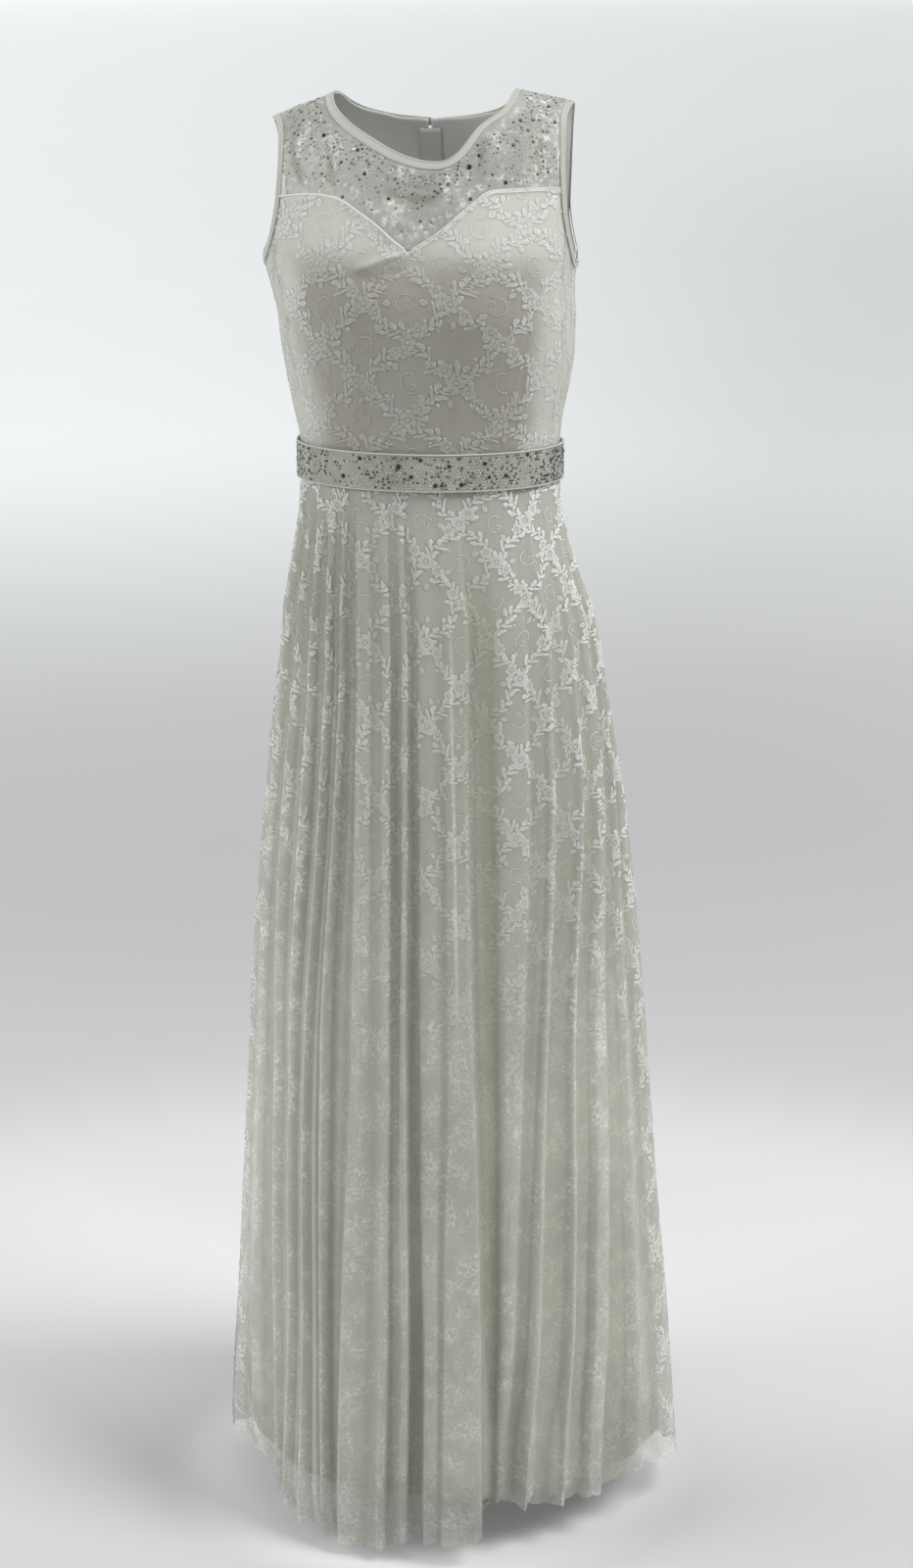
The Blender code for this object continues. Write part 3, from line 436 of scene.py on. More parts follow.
# ---------------------------------------------------------------- one set of sums, for arrays and for nodes
class Plain:
    """Sums on arrays, under the names that Shop has for nodes."""

    sin, cos, abs, floor, sqrt = np.sin, np.cos, np.abs, np.floor, np.sqrt
    minimum, maximum, atan2 = np.minimum, np.maximum, np.arctan2

    @staticmethod
    def frac(x):
        return x - np.floor(x)

    @staticmethod
    def ramp(x, a, b):
        t = np.clip((x - a) / (b - a), 0, 1)
        return t * t * (3 - 2 * t)


class Wire:
    """A number that nodes work out."""

    def __init__(self, shop, out, key):
        self.shop, self.out, self.key = shop, out, key

    def __add__(self, other):
        return self.shop.math("ADD", self, other)

    def __sub__(self, other):
        return self.shop.math("SUBTRACT", self, other)

    def __rsub__(self, other):
        return self.shop.math("SUBTRACT", other, self)

    def __mul__(self, other):
        return self.shop.math("MULTIPLY", self, other)

    def __truediv__(self, other):
        return self.shop.math("DIVIDE", self, other)

    __radd__, __rmul__ = __add__, __mul__


class Shop:
    """Makes math nodes in a tree, each sum once."""

    def __init__(self, tree):
        self.tree, self.made = tree, {}

    def key(self, a):
        return a.key if isinstance(a, Wire) else round(float(a), 9)

    def wire(self, out):
        return Wire(self, out, f"{out.node.name}.{out.identifier}")

    def math(self, what, *args):
        name = (what, *(self.key(a) for a in args))
        if name not in self.made:
            node = self.tree.nodes.new("ShaderNodeMath")
            node.operation = what
            for place, a in zip(node.inputs, args):
                self.feed(a, place)
            self.made[name] = self.wire(node.outputs[0])
        return self.made[name]

    def feed(self, a, place):
        if isinstance(a, Wire):
            self.tree.links.new(a.out, place)
        else:
            place.default_value = a

    def sin(self, x):
        return self.math("SINE", x)

    def cos(self, x):
        return self.math("COSINE", x)

    def abs(self, x):
        return self.math("ABSOLUTE", x)

    def floor(self, x):
        return self.math("FLOOR", x)

    def frac(self, x):
        return self.math("FRACT", x)

    def sqrt(self, x):
        return self.math("SQRT", x)

    def atan2(self, a, b):
        return self.math("ARCTAN2", a, b)

    def minimum(self, a, b):
        return self.math("MINIMUM", a, b)

    def maximum(self, a, b):
        return self.math("MAXIMUM", a, b)

    def ramp(self, x, a, b):
        name = ("ramp", self.key(x), a, b)
        if name not in self.made:
            node = self.tree.nodes.new("ShaderNodeMapRange")
            node.interpolation_type = "SMOOTHSTEP"
            self.feed(x, node.inputs["Value"])
            node.inputs["From Min"].default_value = a
            node.inputs["From Max"].default_value = b
            self.made[name] = self.wire(node.outputs[0])
        return self.made[name]

    # what only nodes have
    def uv(self, layer):
        node = self.tree.nodes.new("ShaderNodeUVMap")
        node.uv_map = layer
        split = self.tree.nodes.new("ShaderNodeSeparateXYZ")
        self.tree.links.new(node.outputs[0], split.inputs[0])
        return self.wire(split.outputs[0]), self.wire(split.outputs[1])

    def attribute(self, name):
        node = self.tree.nodes.new("ShaderNodeAttribute")
        node.attribute_name = name
        return self.wire(node.outputs["Fac"])

    def noise(self, scale, detail=2.0, rough=0.5, stretch=None):
        node = self.tree.nodes.new("ShaderNodeTexNoise")
        node.inputs["Scale"].default_value = scale
        node.inputs["Detail"].default_value = detail
        node.inputs["Roughness"].default_value = rough
        place = self.tree.nodes.new("ShaderNodeTexCoord")
        if stretch:
            mapping = self.tree.nodes.new("ShaderNodeMapping")
            mapping.inputs["Scale"].default_value = stretch
            self.tree.links.new(place.outputs["Object"], mapping.inputs[0])
            self.tree.links.new(mapping.outputs[0], node.inputs["Vector"])
        else:
            self.tree.links.new(place.outputs["Object"], node.inputs["Vector"])
        return self.wire(node.outputs[0])

    def cells(self, scale, feature="F1"):
        node = self.tree.nodes.new("ShaderNodeTexVoronoi")
        node.feature = feature
        node.inputs["Scale"].default_value = scale
        place = self.tree.nodes.new("ShaderNodeTexCoord")
        self.tree.links.new(place.outputs["Object"], node.inputs["Vector"])
        return self.wire(node.outputs[0])

    def mix(self, a, b, share):
        """Colour from a to b; each a colour or a socket that gives one."""
        node = self.tree.nodes.new("ShaderNodeMix")
        node.data_type = "RGBA"
        self.feed(share, node.inputs[0])
        for value, place in ((a, node.inputs[6]), (b, node.inputs[7])):
            if isinstance(value, bpy.types.NodeSocket):
                self.tree.links.new(value, place)
            else:
                place.default_value = (*value[:3], 1.0)
        return node.outputs[2]

    def times(self, a, b):
        """One colour socket times another."""
        node = self.tree.nodes.new("ShaderNodeVectorMath")
        node.operation = "MULTIPLY"
        self.tree.links.new(a, node.inputs[0])
        self.tree.links.new(b, node.inputs[1])
        return node.outputs[0]

    def scaled(self, colour, amount):
        """A colour socket times a number."""
        node = self.tree.nodes.new("ShaderNodeVectorMath")
        node.operation = "SCALE"
        self.tree.links.new(colour, node.inputs[0])
        self.feed(amount, node.inputs["Scale"])
        return node.outputs[0]

    def bump(self, height, depth, strength=1.0, after=None):
        node = self.tree.nodes.new("ShaderNodeBump")
        node.inputs["Distance"].default_value = depth
        node.inputs["Strength"].default_value = strength
        self.feed(height, node.inputs["Height"])
        if after is not None:
            self.tree.links.new(after, node.inputs["Normal"])
        return node.outputs[0]


def finish_of(name, **fixed):
    """A material's Shop and its shader, with values that are the same all over set on the shader."""
    made = bpy.data.materials.new(name)
    made.use_nodes = True
    shader = made.node_tree.nodes["Principled BSDF"]
    for key, value in fixed.items():
        shader.inputs[key.replace("_", " ")].default_value = (*value, 1.0) if isinstance(value, tuple) else value
    return made, Shop(made.node_tree), shader


# ---------------------------------------------------------------- the lace's pattern
# mm, the trellis from crossing to crossing, across and down; the leaves along a garland between
# two crossings; and the size of the motifs
BODICE_TRELLIS = (94.0, 76.0, 7, 1.0)
SKIRT_TRELLIS = (70.0, 80.0, 6, 0.86)


def flower(m, du, dv, turn, size):
    """How far inside a flower of five petals, in mm, and the distance from its middle."""
    r = m.sqrt(du * du + dv * dv)
    petal = m.sqrt(m.abs(m.cos(m.atan2(dv, du) * 2.5 + turn)))
    return (petal * (0.60 * size) + 0.40 * size) - r, r


def garland(m, n, along, turn, run, leaves, size):
    """How far inside a leafy stem, n across and along it from a crossing, in mm; run is how far
    it is to the next crossing."""
    n = n - m.sin(along * (4 * math.pi / run) + turn) * (4.0 * size)
    side = m.abs(n)
    k = (along - side * 0.95) * (leaves / run) + m.ramp(n, -0.01, 0.01) * 0.5
    lot = m.frac(m.sin(m.floor(k) * 2.37 + turn * 3.1) * 9.7)
    reach = m.cos(along * (4 * math.pi / run) + turn * 1.7) * (2.2 * size) + lot * (4.4 * size) + 5.8 * size
    off = m.abs(m.frac(k) - 0.5) * (0.60 * run / leaves)
    y = (side - 0.3) / reach
    leaf = y * (1.0 - y) * (8.2 * size) - off
    rib = m.minimum(0.34 - off, m.minimum(y - 0.08, 0.8 - y) * 8.0)
    return m.maximum(0.6 - side, leaf), rib


def lace(m, u, v, trellis=BODICE_TRELLIS):
    """The lace at u across and v down, in mm: how far thread covers the net, how far the cord
    round the motifs does, and how far a place is in the narrow gap beside a cord, each 0 to 1."""
    wide, tall, leaves, size = trellis
    run = math.hypot(wide, tall) / 2  # along a garland between two crossings
    apart = 1 / math.hypot(1 / wide, 1 / tall)  # from one garland to the next
    p, q = u / wide + v / tall, u / wide - v / tall
    ip, iq = m.floor(p + 0.5), m.floor(q + 0.5)
    dp, dq = p - ip, q - iq
    du, dv = (dp + dq) * (wide / 2), (dp - dq) * (tall / 2)
    luck = m.frac(m.sin(ip * 1.731 + iq * 2.417 + 0.5) * 7.13)
    way = m.ramp(luck, 0.49, 0.51) * 2.0 - 1.0
    turn = luck * 6.2832
    inside, r = flower(m, du, dv, turn, 8.6 * size)
    second, r2 = flower(m, du - way * (11.5 * size), dv + 12.0 * size, turn + 1.0, 7.6 * size)
    third, r3 = flower(m, du + way * (12.5 * size), dv - 9.5 * size, turn + 2.2, 7.0 * size)
    near_ = m.minimum(r / 8.6, m.minimum(r2 / 7.6, r3 / 7.0)) / size  # from the middle of the nearest bloom
    eye = m.ramp(m.abs(near_ - 0.30), 0.14, 0.06)  # a dark ring round a pale middle
    ring = 0.10 - near_
    blooms = m.maximum(inside, m.maximum(second, third))
    ca, sa = wide / 2 / run, tall / 2 / run
    one, rib = garland(m, dp * apart, du * ca - dv * sa, turn, run, leaves, size)
    two, rib2 = garland(m, dq * apart, (du * ca + dv * sa) * -1.0, turn + 2.0, run, leaves, size)
    # each lies over the next with a narrow gap: blooms, one garland, then the other
    clear = -0.55 - blooms
    rib2 = m.minimum(rib2, -0.4 - one)
    two = m.minimum(two, -0.4 - one)
    stems = m.minimum(m.maximum(one, two), clear)
    rib = m.minimum(m.maximum(rib, rib2), clear)
    # an open loop with a small hook in each diamond, and small leaves
    fp, fq = m.floor(p), m.floor(q)
    ep, eq = p - fp - 0.5, q - fq - 0.5
    chance = m.frac(m.sin(fp * 2.113 + fq * 1.377 + 1.1) * 5.71)
    eu, ev = (ep + eq) * (wide / 2 / size) * (m.ramp(chance, 0.49, 0.51) * 2.0 - 1.0), (ep - eq) * (tall / 2 / size)
    lean_c, lean_s = m.cos(chance * 9.0), m.sin(chance * 9.0)
    eu, ev = eu * lean_c - ev * lean_s, eu * lean_s + ev * lean_c
    far = m.sqrt(eu * eu + ev * ev * 0.62)
    angle = m.atan2(ev, eu) + chance * 1.6
    loop = m.minimum(0.60 - m.abs(far - 7.4 - chance * 2.0 - m.cos(angle) * 1.8), (0.55 - m.cos(angle)) * 7.0)
    hook_u, hook_v = eu - 3.2, ev + 5.4
    hook = m.minimum(0.56 - m.abs(m.sqrt(hook_u * hook_u + hook_v * hook_v) - 2.7), (hook_u + 2.2) * 2.0)
    y = (far - 16.5) / 3.8
    sprig = (1.0 - y * y) * 1.7 - m.abs(m.sin(angle + 0.7)) * far * 0.7
    inner = m.minimum(m.maximum(m.minimum(m.maximum(loop, hook), (chance - 0.18) * 30.0), sprig), -0.3 - stems)
    outer = m.maximum(blooms, stems)
    motif = m.maximum(outer, inner)
    fill = m.ramp(motif, -0.25, 0.35) * (1.0 - m.ramp(inner - outer, -0.1, 0.1) * 0.35)
    cord = (1.0 - m.ramp(m.abs(motif - 0.5), 0.15, 0.7)) * fill
    cord = m.maximum(cord, m.maximum(m.ramp(ring, -0.05, 0.05), m.ramp(rib, -0.2, 0.3) * 0.8))
    return fill * (1.0 - eye * 0.9), cord * (1.0 - eye), 1.0 - m.ramp(m.abs(motif + 0.60), 0.15, 0.60)


def netting(m, u, v, pitch):
    """Threads of a fine net, 0 to 1."""
    a, b = (u + v * 0.7) / pitch, (u - v * 0.7) / pitch
    return m.maximum(m.ramp(m.abs(m.frac(a) - 0.5), 0.28, 0.46), m.ramp(m.abs(m.frac(b) - 0.5), 0.28, 0.46))


def border(m, u, rise):
    """The hem's edging, rise above the hem's points, in mm: how far inside its motifs."""
    across = (m.frac(u / SCALLOP) - 0.5) * SCALLOP
    lean = across + m.sin(u * 0.11) * 2.0
    bloom, _ = flower(m, lean, rise - 10.0 + m.sin(u * 0.23) * 2.0, 0.4, 5.2)
    frond = 0.6 - m.abs(m.sin(u * 0.55 + rise * 0.32)) * 2.2
    return m.maximum(bloom, m.minimum(frond, m.minimum(17.0 - rise, rise - 3.0)))


SCALLOP = 19.0  # mm, from point to point of the hem


def wool(points, scale, seed=0.0):
    """Smooth noise from -1 to 1 at these points, scale to a metre."""
    p = np.asarray(points) * scale + seed
    cell = np.floor(p)
    f = p - cell
    f = f * f * (3 - 2 * f)
    out = 0.0
    for corner in range(8):
        at = np.array([corner & 1, corner >> 1 & 1, corner >> 2 & 1])
        q = cell + at
        value = Plain.frac(np.sin(q @ np.array([127.1, 311.7, 74.7])) * 43758.5453) * 2 - 1
        out = out + value * np.prod(np.where(at, f, 1 - f), axis=-1)
    return out


def shaken(u, v):
    """The pattern's small unevenness: u and v in mm."""
    return (
        u + 2.6 * np.sin(v / 31.0 + 0.6) + 2.0 * np.sin(u / 43.0 + v / 57.0),
        v + 2.4 * np.sin(u / 37.0 + 1.9) + 1.8 * np.sin(v / 49.0 - u / 61.0),
    )


def relief(u, v, trellis=BODICE_TRELLIS):
    fill, cord, _ = lace(Plain, u, v, trellis)
    return 0.55 * fill + 0.45 * cord


# ---------------------------------------------------------------- meshes
def mesh_of(name, points, faces, finish, body="dress", smooth=True, layers=(), numbers=()):
    """A mesh of quads: points above the floor, faces as rows of four. layers are UV maps by
    name, numbers are values by name, each with one entry a point."""
    points = np.asarray(points, float).reshape(-1, 3) - (0, 0, SHOULDER)
    faces = np.asarray(faces)
    mesh = bpy.data.meshes.new(name)
    mesh.vertices.add(len(points))
    mesh.vertices.foreach_set("co", points.astype(np.float32).ravel())
    mesh.loops.add(faces.size)
    mesh.loops.foreach_set("vertex_index", faces.astype(np.int32).ravel())
    mesh.polygons.add(len(faces))
    mesh.polygons.foreach_set("loop_start", np.arange(0, faces.size, faces.shape[1], dtype=np.int32))
    mesh.update(calc_edges=True)
    mesh.validate()
    mesh.polygons.foreach_set("use_smooth", np.full(len(mesh.polygons), smooth))
    for layer, uv in layers:
        made = mesh.uv_layers.new(name=layer)
        made.data.foreach_set("uv", np.asarray(uv, np.float32).reshape(-1, 2)[faces.ravel()].ravel())
    for key, value in numbers:
        made = mesh.attributes.new(key, "FLOAT", "POINT")
        made.data.foreach_set("value", np.asarray(value, np.float32).ravel())
    mesh.materials.append(finish)
    obj = bpy.data.objects.new(name, mesh)
    bpy.context.scene.collection.objects.link(obj)
    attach(obj, body)
    return obj


def quads(rows, cols, around=False, wrap=False):
    """Faces of a grid; around joins its last column to the first, wrap its last row."""
    index = np.arange(rows * cols).reshape(rows, cols)
    if around:
        index = np.concatenate([index, index[:, :1]], 1)
    if wrap:
        index = np.concatenate([index, index[:1]], 0)
    return np.stack([index[:-1, :-1], index[:-1, 1:], index[1:, 1:], index[1:, :-1]], -1).reshape(-1, 4)


def grid_normals(points):
    down, along = np.gradient(points, axis=0), np.gradient(points, axis=1)
    n = np.cross(along, down)
    n /= np.maximum(np.linalg.norm(n, axis=-1, keepdims=True), 1e-12)
    # outwards is away from the middle of the dress
    way = np.sign((n[..., :2] * points[..., :2]).sum())
    return n * (way if way else 1.0)


def unit(rows, cols, low=0.01, high=0.99):
    """A clean map of the grid on the unit square."""
    v, u = np.meshgrid(np.linspace(low, high, rows), np.linspace(low, high, cols), indexing="ij")
    return np.stack([u, v], -1)


def outward(points, faces):
    """The faces, turned if they look inwards."""
    p = np.asarray(points).reshape(-1, 3)
    a, b, c = p[faces[:, 0]], p[faces[:, 1]], p[faces[:, 2]]
    n = np.cross(b - a, c - a)
    middle = (a + c) / 2
    return faces if (n[:, :2] * middle[:, :2]).sum() > 0 else faces[:, ::-1]


def sheet_of(name, points, finish, cloth_uv, numbers=()):
    """An open sheet through a grid of points. cloth_uv is across and down, in mm."""
    rows, cols = points.shape[:2]
    faces = outward(points, quads(rows, cols))
    return mesh_of(name, points, faces, finish, layers=(("OFBake", unit(rows, cols)), ("cloth", np.asarray(cloth_uv) / 1000)), numbers=numbers)


def shell_of(name, outer, inner, finish, cloth_uv, numbers=()):
    """A closed shell between two grids of points."""
    rows, cols = outer.shape[:2]
    size = rows * cols
    face = outward(outer, quads(rows, cols))
    flipped = not np.array_equal(face, quads(rows, cols))
    index = np.arange(size).reshape(rows, cols)
    rim = np.concatenate([index[0, :-1], index[:-1, -1], index[-1, :0:-1], index[:0:-1, 0]])
    nxt = np.roll(rim, -1)
    edge_faces = np.stack([rim, rim + size, nxt + size, nxt], -1)
    if flipped:
        edge_faces = edge_faces[:, ::-1]
    faces = np.concatenate([face, face[:, ::-1] + size, edge_faces])
    low, high = unit(rows, cols, 0.01, 0.99), unit(rows, cols, 0.01, 0.99)
    low, high = low * (0.49, 1), high * (0.49, 1) + (0.5, 0)
    cloth_uv = np.asarray(cloth_uv) / 1000
    return mesh_of(
        name,
        np.concatenate([outer.reshape(-1, 3), inner.reshape(-1, 3)]),
        faces,
        finish,
        layers=(("OFBake", np.concatenate([low.reshape(-1, 2), high.reshape(-1, 2)])), ("cloth", np.concatenate([cloth_uv.reshape(-1, 2)] * 2))),
        numbers=[(key, np.concatenate([np.ravel(value)] * 2)) for key, value in numbers],
    )


def near(x, z, path):
    """Distance from the line through path (rows of x, z), with a plus sign on its left, and the
    share of the way along it."""
    path = np.asarray(path, float)
    best = np.full(np.shape(x), 9.0)
    sign, share = np.zeros(np.shape(x)), np.zeros(np.shape(x))
    steps = np.linalg.norm(np.diff(path, axis=0), axis=1)
    total, done = steps.sum(), 0.0
    for (ax, az), (bx, bz), long in zip(path[:-1], path[1:], steps):
        t = np.clip(((x - ax) * (bx - ax) + (z - az) * (bz - az)) / long**2, 0, 1)
        d = np.hypot(x - ax - t * (bx - ax), z - az - t * (bz - az))
        side = np.sign((bx - ax) * (z - az) - (bz - az) * (x - ax))
        closer = d < best
        best = np.where(closer, d, best)
        sign = np.where(closer, side, sign)
        share = np.where(closer, (done + t * long) / total, share)
        done += long
    return best * sign, share


def crease(x, z, path, lift, above, below, fade=0.15):
    """A soft ridge (lift over 0) or groove along a path. above and below are its half widths on
    the two sides of the path, in mm, and fade the share of its length over which it ends."""
    d, t = near(x, z, path)
    wide = np.where(d >= 0, above, below) * MM
    ends = np.clip(np.minimum(t, 1 - t) / fade, 0, 1)
    ends = ends * ends * (3 - 2 * ends)
    inside = np.abs(d) < 6 * wide
    return np.where(inside, lift * MM * np.exp(-((d / wide) ** 2)) * ends, 0.0)


# ---------------------------------------------------------------- finishes
THREAD = (0.765, 0.785, 0.755)
GROUND = (0.490, 0.497, 0.447)
# darker nude of the bodice's lining below the bust: partly its own colour, partly painted shade
TAUPE = (0.228, 0.203, 0.162)
PAINTED_HOLLOW_SHADE = (0.825, 0.815, 0.765)  # painted shade: how far the hollows of the folds are darkened in colour


def lace_finish(name, net_cover, ground, thread, depth, cover_fill, cover_cord, skirt=False):
    """Lace on fine net: net_cover is how much of what lies behind the bare net hides. On the mesh
    are the hollows, where shade is painted and the motifs fade, and uneven, sheer, low and cloud:
    the cloth's uneven tone with painted light and shade in it, where it hangs free, and how far
    down the skirt the motifs blur into what lies behind, where the lower skirt is also painted lighter."""
    made, m, shader = finish_of(name, Roughness=0.8, Sheen_Weight=0.12, Sheen_Roughness=0.5, Specular_IOR_Level=0.25)
    u, v = m.uv("cloth")
    u, v = u * 1000.0, v * 1000.0
    fill, cord, rim = lace(m, u, v, SKIRT_TRELLIS if skirt else BODICE_TRELLIS)
    painted_hollow_shade, uneven, sheer = m.attribute("painted_hollow_shade"), m.attribute("uneven"), m.attribute("sheer")
    strands = m.sin((u * 0.6 + v) * 4.4) * 0.5 + 0.5
    if skirt:
        rise = m.attribute("rise")
        motif = border(m, m.attribute("round"), rise)
        foot = m.ramp(rise, 24.0, 16.0)
        cord = m.maximum(cord * (1.0 - m.ramp(motif, -0.5, 0.2) * foot), (1.0 - m.ramp(m.abs(motif - 0.5), 0.2, 0.7)) * m.ramp(motif, -0.2, 0.3) * foot)
        cord = m.maximum(cord, m.ramp(rise, 1.8, 0.9))
        fill = m.maximum(fill, m.ramp(motif, -0.2, 0.3) * foot)
        worms = m.ramp(m.abs(m.noise(135.0, 1.0, 0.6) - 0.5), 0.060, 0.015)
        low = m.attribute("low")
        blur = low * 0.78
        rim = rim * (1.0 - blur)
        cloud = m.attribute("cloud")
        fill = fill * (1.0 - blur) + cloud * (worms * 0.55 + 0.35) * blur
        cord = cord * (1.0 - blur) + cloud * worms * blur * 0.8
        # painted highlights along crests and pleat edges, drawn as pale cord
        cord = m.maximum(cord, m.attribute("shine") * (worms * 0.4 + 0.5))
    net = netting(m, u, v, 1.5)
    plain = 1.0 - painted_hollow_shade * 0.85  # motifs fade in the hollows, where the cloth lies double and shade is painted
    keen = m.attribute("keen")
    grain = m.noise(640.0, 0.0) - 0.5
    # where keen is high the motifs show brighter: painted highlight on the threads
    cover = (fill * 0.50 + cord * 0.50) * plain * (keen * 0.70 + 0.42) * (grain * 0.9 + 1.0)
    # rim: painted shadow in the narrow gap beside each cord; uneven: random tone with painted light and shade
    tone = (uneven * 0.07 + 1.0) * (1.0 - fill * strands * 0.07) * (1.0 - rim * plain * 0.22) * (grain * 0.10 + 1.0)
    if skirt:
        # painted light: the lower skirt lighter, and the painted shade of its hollows lighter there
        tone = tone * (low * 0.125 + 1.0)
        painted_hollow_shade = painted_hollow_shade * (1.0 - low * 0.12)
    # the ground warmer where uneven is low: random tone, and warmer painted shade
    ground = m.mix(ground, tuple(c * k for c, k in zip(ground, (0.99, 0.98, 0.955))), m.ramp(uneven, 0.5, -0.5))
    # painted shade: the hollows of the folds darkened in colour
    shade = m.mix((1.0, 1.0, 1.0), PAINTED_HOLLOW_SHADE, painted_hollow_shade)
    colour = m.scaled(m.times(m.mix(ground, thread, cover), shade), tone)
    m.tree.links.new(colour, shader.inputs["Base Color"])
    bare = net * 0.14 + (net_cover - 0.05) - sheer * (0.22 if skirt else 0.26)
    if skirt:
        bare = bare + low * 0.10
    m.feed(bare + (0.97 - bare) * m.maximum(fill * cover_fill, cord * cover_cord), shader.inputs["Alpha"])
    m.feed(0.86 - cord * 0.18, shader.inputs["Roughness"])
    if skirt:
        height = strands * 0.5 + net * 0.5
    else:
        height = (fill * 0.4 + cord * 0.6) * plain + fill * strands * 0.06 + net * 0.06
    m.tree.links.new(m.bump(height, depth, 0.8), shader.inputs["Normal"])
    return made


def lining_finish(name, colour, rough=0.55, sheen=0.25, cups=None):
    """Plain woven lining: fine weave, slight unevenness, soft sheen. cups is the darker nude colour
    it takes round the moulded cups and below the bust: partly the lining's own colour, partly painted shade under the
    bust."""
    made, m, shader = finish_of(name, Roughness=rough, Sheen_Weight=sheen, Sheen_Roughness=0.4, Specular_IOR_Level=0.35)
    u, v = m.uv("cloth")
    u, v = u * 1000.0, v * 1000.0
    weave = m.sin(u * 9.0) * m.sin(v * 9.0)
    uneven = m.noise(7.0, 3.0)
    slub = m.noise(90.0, 2.0, 0.6, (1.0, 1.0, 0.12))
    tone = (uneven - 0.5) * 0.10 + (slub - 0.5) * 0.06 + weave * 0.02 + 1.0
    there = m.mix(colour, cups or colour, m.attribute("cup_and_under_bust_shade") if cups else 0.0)
    m.tree.links.new(m.scaled(there, tone), shader.inputs["Base Color"])
    m.feed((slub - 0.5) * 0.2 + rough, shader.inputs["Roughness"])
    m.tree.links.new(m.bump(weave, 0.0002, 0.5), shader.inputs["Normal"])
    return made


def net_finish(name):
    """Sheer yoke: net with pale flocked patches and stray threads."""
    made, m, shader = finish_of(name, Roughness=0.75, Sheen_Weight=0.15, Sheen_Roughness=0.5, Specular_IOR_Level=0.25)
    u, v = m.uv("cloth")
    u, v = u * 1000.0, v * 1000.0
    net = netting(m, u, v, 1.3)
    patches = m.ramp(m.noise(30.0, 4.0, 0.62), 0.46, 0.66)
    spray = m.ramp(m.noise(130.0, 3.0, 0.7), 0.46, 0.66)
    fine = m.noise(9.0, 2.0)
    white = m.maximum(patches * (spray * 0.8 + 0.2), m.attribute("lacy") * spray)
    colour = m.mix((0.400, 0.407, 0.368), (0.75, 0.765, 0.725), white)
    # painted shade: the net darkened in the hollows of its folds
    colour = m.times(colour, m.mix((1.0, 1.0, 1.0), (0.72, 0.72, 0.66), m.attribute("painted_hollow_shade")))
    m.tree.links.new(m.scaled(colour, (fine - 0.5) * 0.2 + net * 0.05 + 0.98), shader.inputs["Base Color"])
    m.feed(net * 0.12 + white * 0.26 + 0.56, shader.inputs["Alpha"])
    m.tree.links.new(m.bump(white * 0.6 + net * 0.15, 0.0003, 0.6), shader.inputs["Normal"])
    return made


def binding_finish(name, colour):
    """Folded self-fabric band with a line of stitches: v runs across it from the edge, in mm."""
    made, m, shader = finish_of(name, Roughness=0.6, Sheen_Weight=0.25, Sheen_Roughness=0.4, Specular_IOR_Level=0.3)
    u, v = m.uv("cloth")
    u, v = u * 1000.0, v * 1000.0
    twill = m.sin((u + v) * 6.0) * 0.5 + 0.5
    line = 1.0 - m.ramp(m.abs(v - m.attribute("stitch")), 0.15, 0.5)
    dash = m.ramp(m.abs(m.frac(u / 2.6) - 0.5), 0.40, 0.32)
    stitch = line * dash
    uneven = m.noise(24.0, 3.0)
    tone = (uneven - 0.5) * 0.14 + twill * 0.04 + stitch * 0.12 - line * (1.0 - dash) * 0.14 + 0.98
    m.tree.links.new(m.scaled(m.mix(colour, colour, 0.0), tone), shader.inputs["Base Color"])
    m.tree.links.new(m.bump(twill * 0.15 + stitch * 0.8 - line * 0.5 + uneven * 0.5, 0.0004, 0.8), shader.inputs["Normal"])
    return made


def crepe_finish(name, colour):
    """Plain stretch crepe of the back."""
    made, m, shader = finish_of(name, Roughness=0.7, Sheen_Weight=0.25, Sheen_Roughness=0.45, Specular_IOR_Level=0.3)
    pebble = m.noise(900.0, 2.0, 0.6)
    broad = m.noise(6.0, 3.0)
    u, v = m.uv("cloth")
    rib = m.sin(u * 5200.0) * 0.5 + 0.5
    tone = (broad - 0.5) * 0.10 + (pebble - 0.5) * 0.10 + rib * 0.02 + 1.0
    m.tree.links.new(m.scaled(m.mix(colour, colour, 0.0), tone), shader.inputs["Base Color"])
    m.feed((pebble - 0.5) * 0.2 + 0.7, shader.inputs["Roughness"])
    m.tree.links.new(m.bump(pebble + rib * 0.3, 0.0003, 0.6), shader.inputs["Normal"])
    return made


def belt_finish(name):
    """Ground of the belt: pale satin with fine glitter between the set stones."""
    made, m, shader = finish_of(name, Roughness=0.6, Sheen_Weight=0.15, Sheen_Roughness=0.4, Specular_IOR_Level=0.35)
    grains = m.cells(620.0)
    speck = m.ramp(grains, 0.42, 0.20)
    broad = m.noise(18.0, 3.0)
    tint = m.ramp(m.noise(420.0, 1.0), 0.40, 0.60)
    colour = m.mix((0.320, 0.324, 0.272), (0.465, 0.475, 0.405), speck * tint)
    m.tree.links.new(m.scaled(colour, (broad - 0.5) * 0.3 + 1.0), shader.inputs["Base Color"])
    m.feed(0.62 - speck * 0.35, shader.inputs["Roughness"])
    m.tree.links.new(m.bump(speck, 0.0006, 0.9), shader.inputs["Normal"])
    return made


def piping_finish(name, colour):
    made, m, shader = finish_of(name, Roughness=0.4, Sheen_Weight=0.2, Sheen_Roughness=0.4, Specular_IOR_Level=0.5)
    u, v = m.uv("cloth")
    twist = m.sin(u * 3600.0 + v * 3000.0) * 0.5 + 0.5
    broad = m.noise(30.0, 2.0)
    m.tree.links.new(m.scaled(m.mix(colour, colour, 0.0), twist * 0.06 + (broad - 0.5) * 0.12 + 0.97), shader.inputs["Base Color"])
    m.tree.links.new(m.bump(twist, 0.0002, 0.6), shader.inputs["Normal"])
    return made


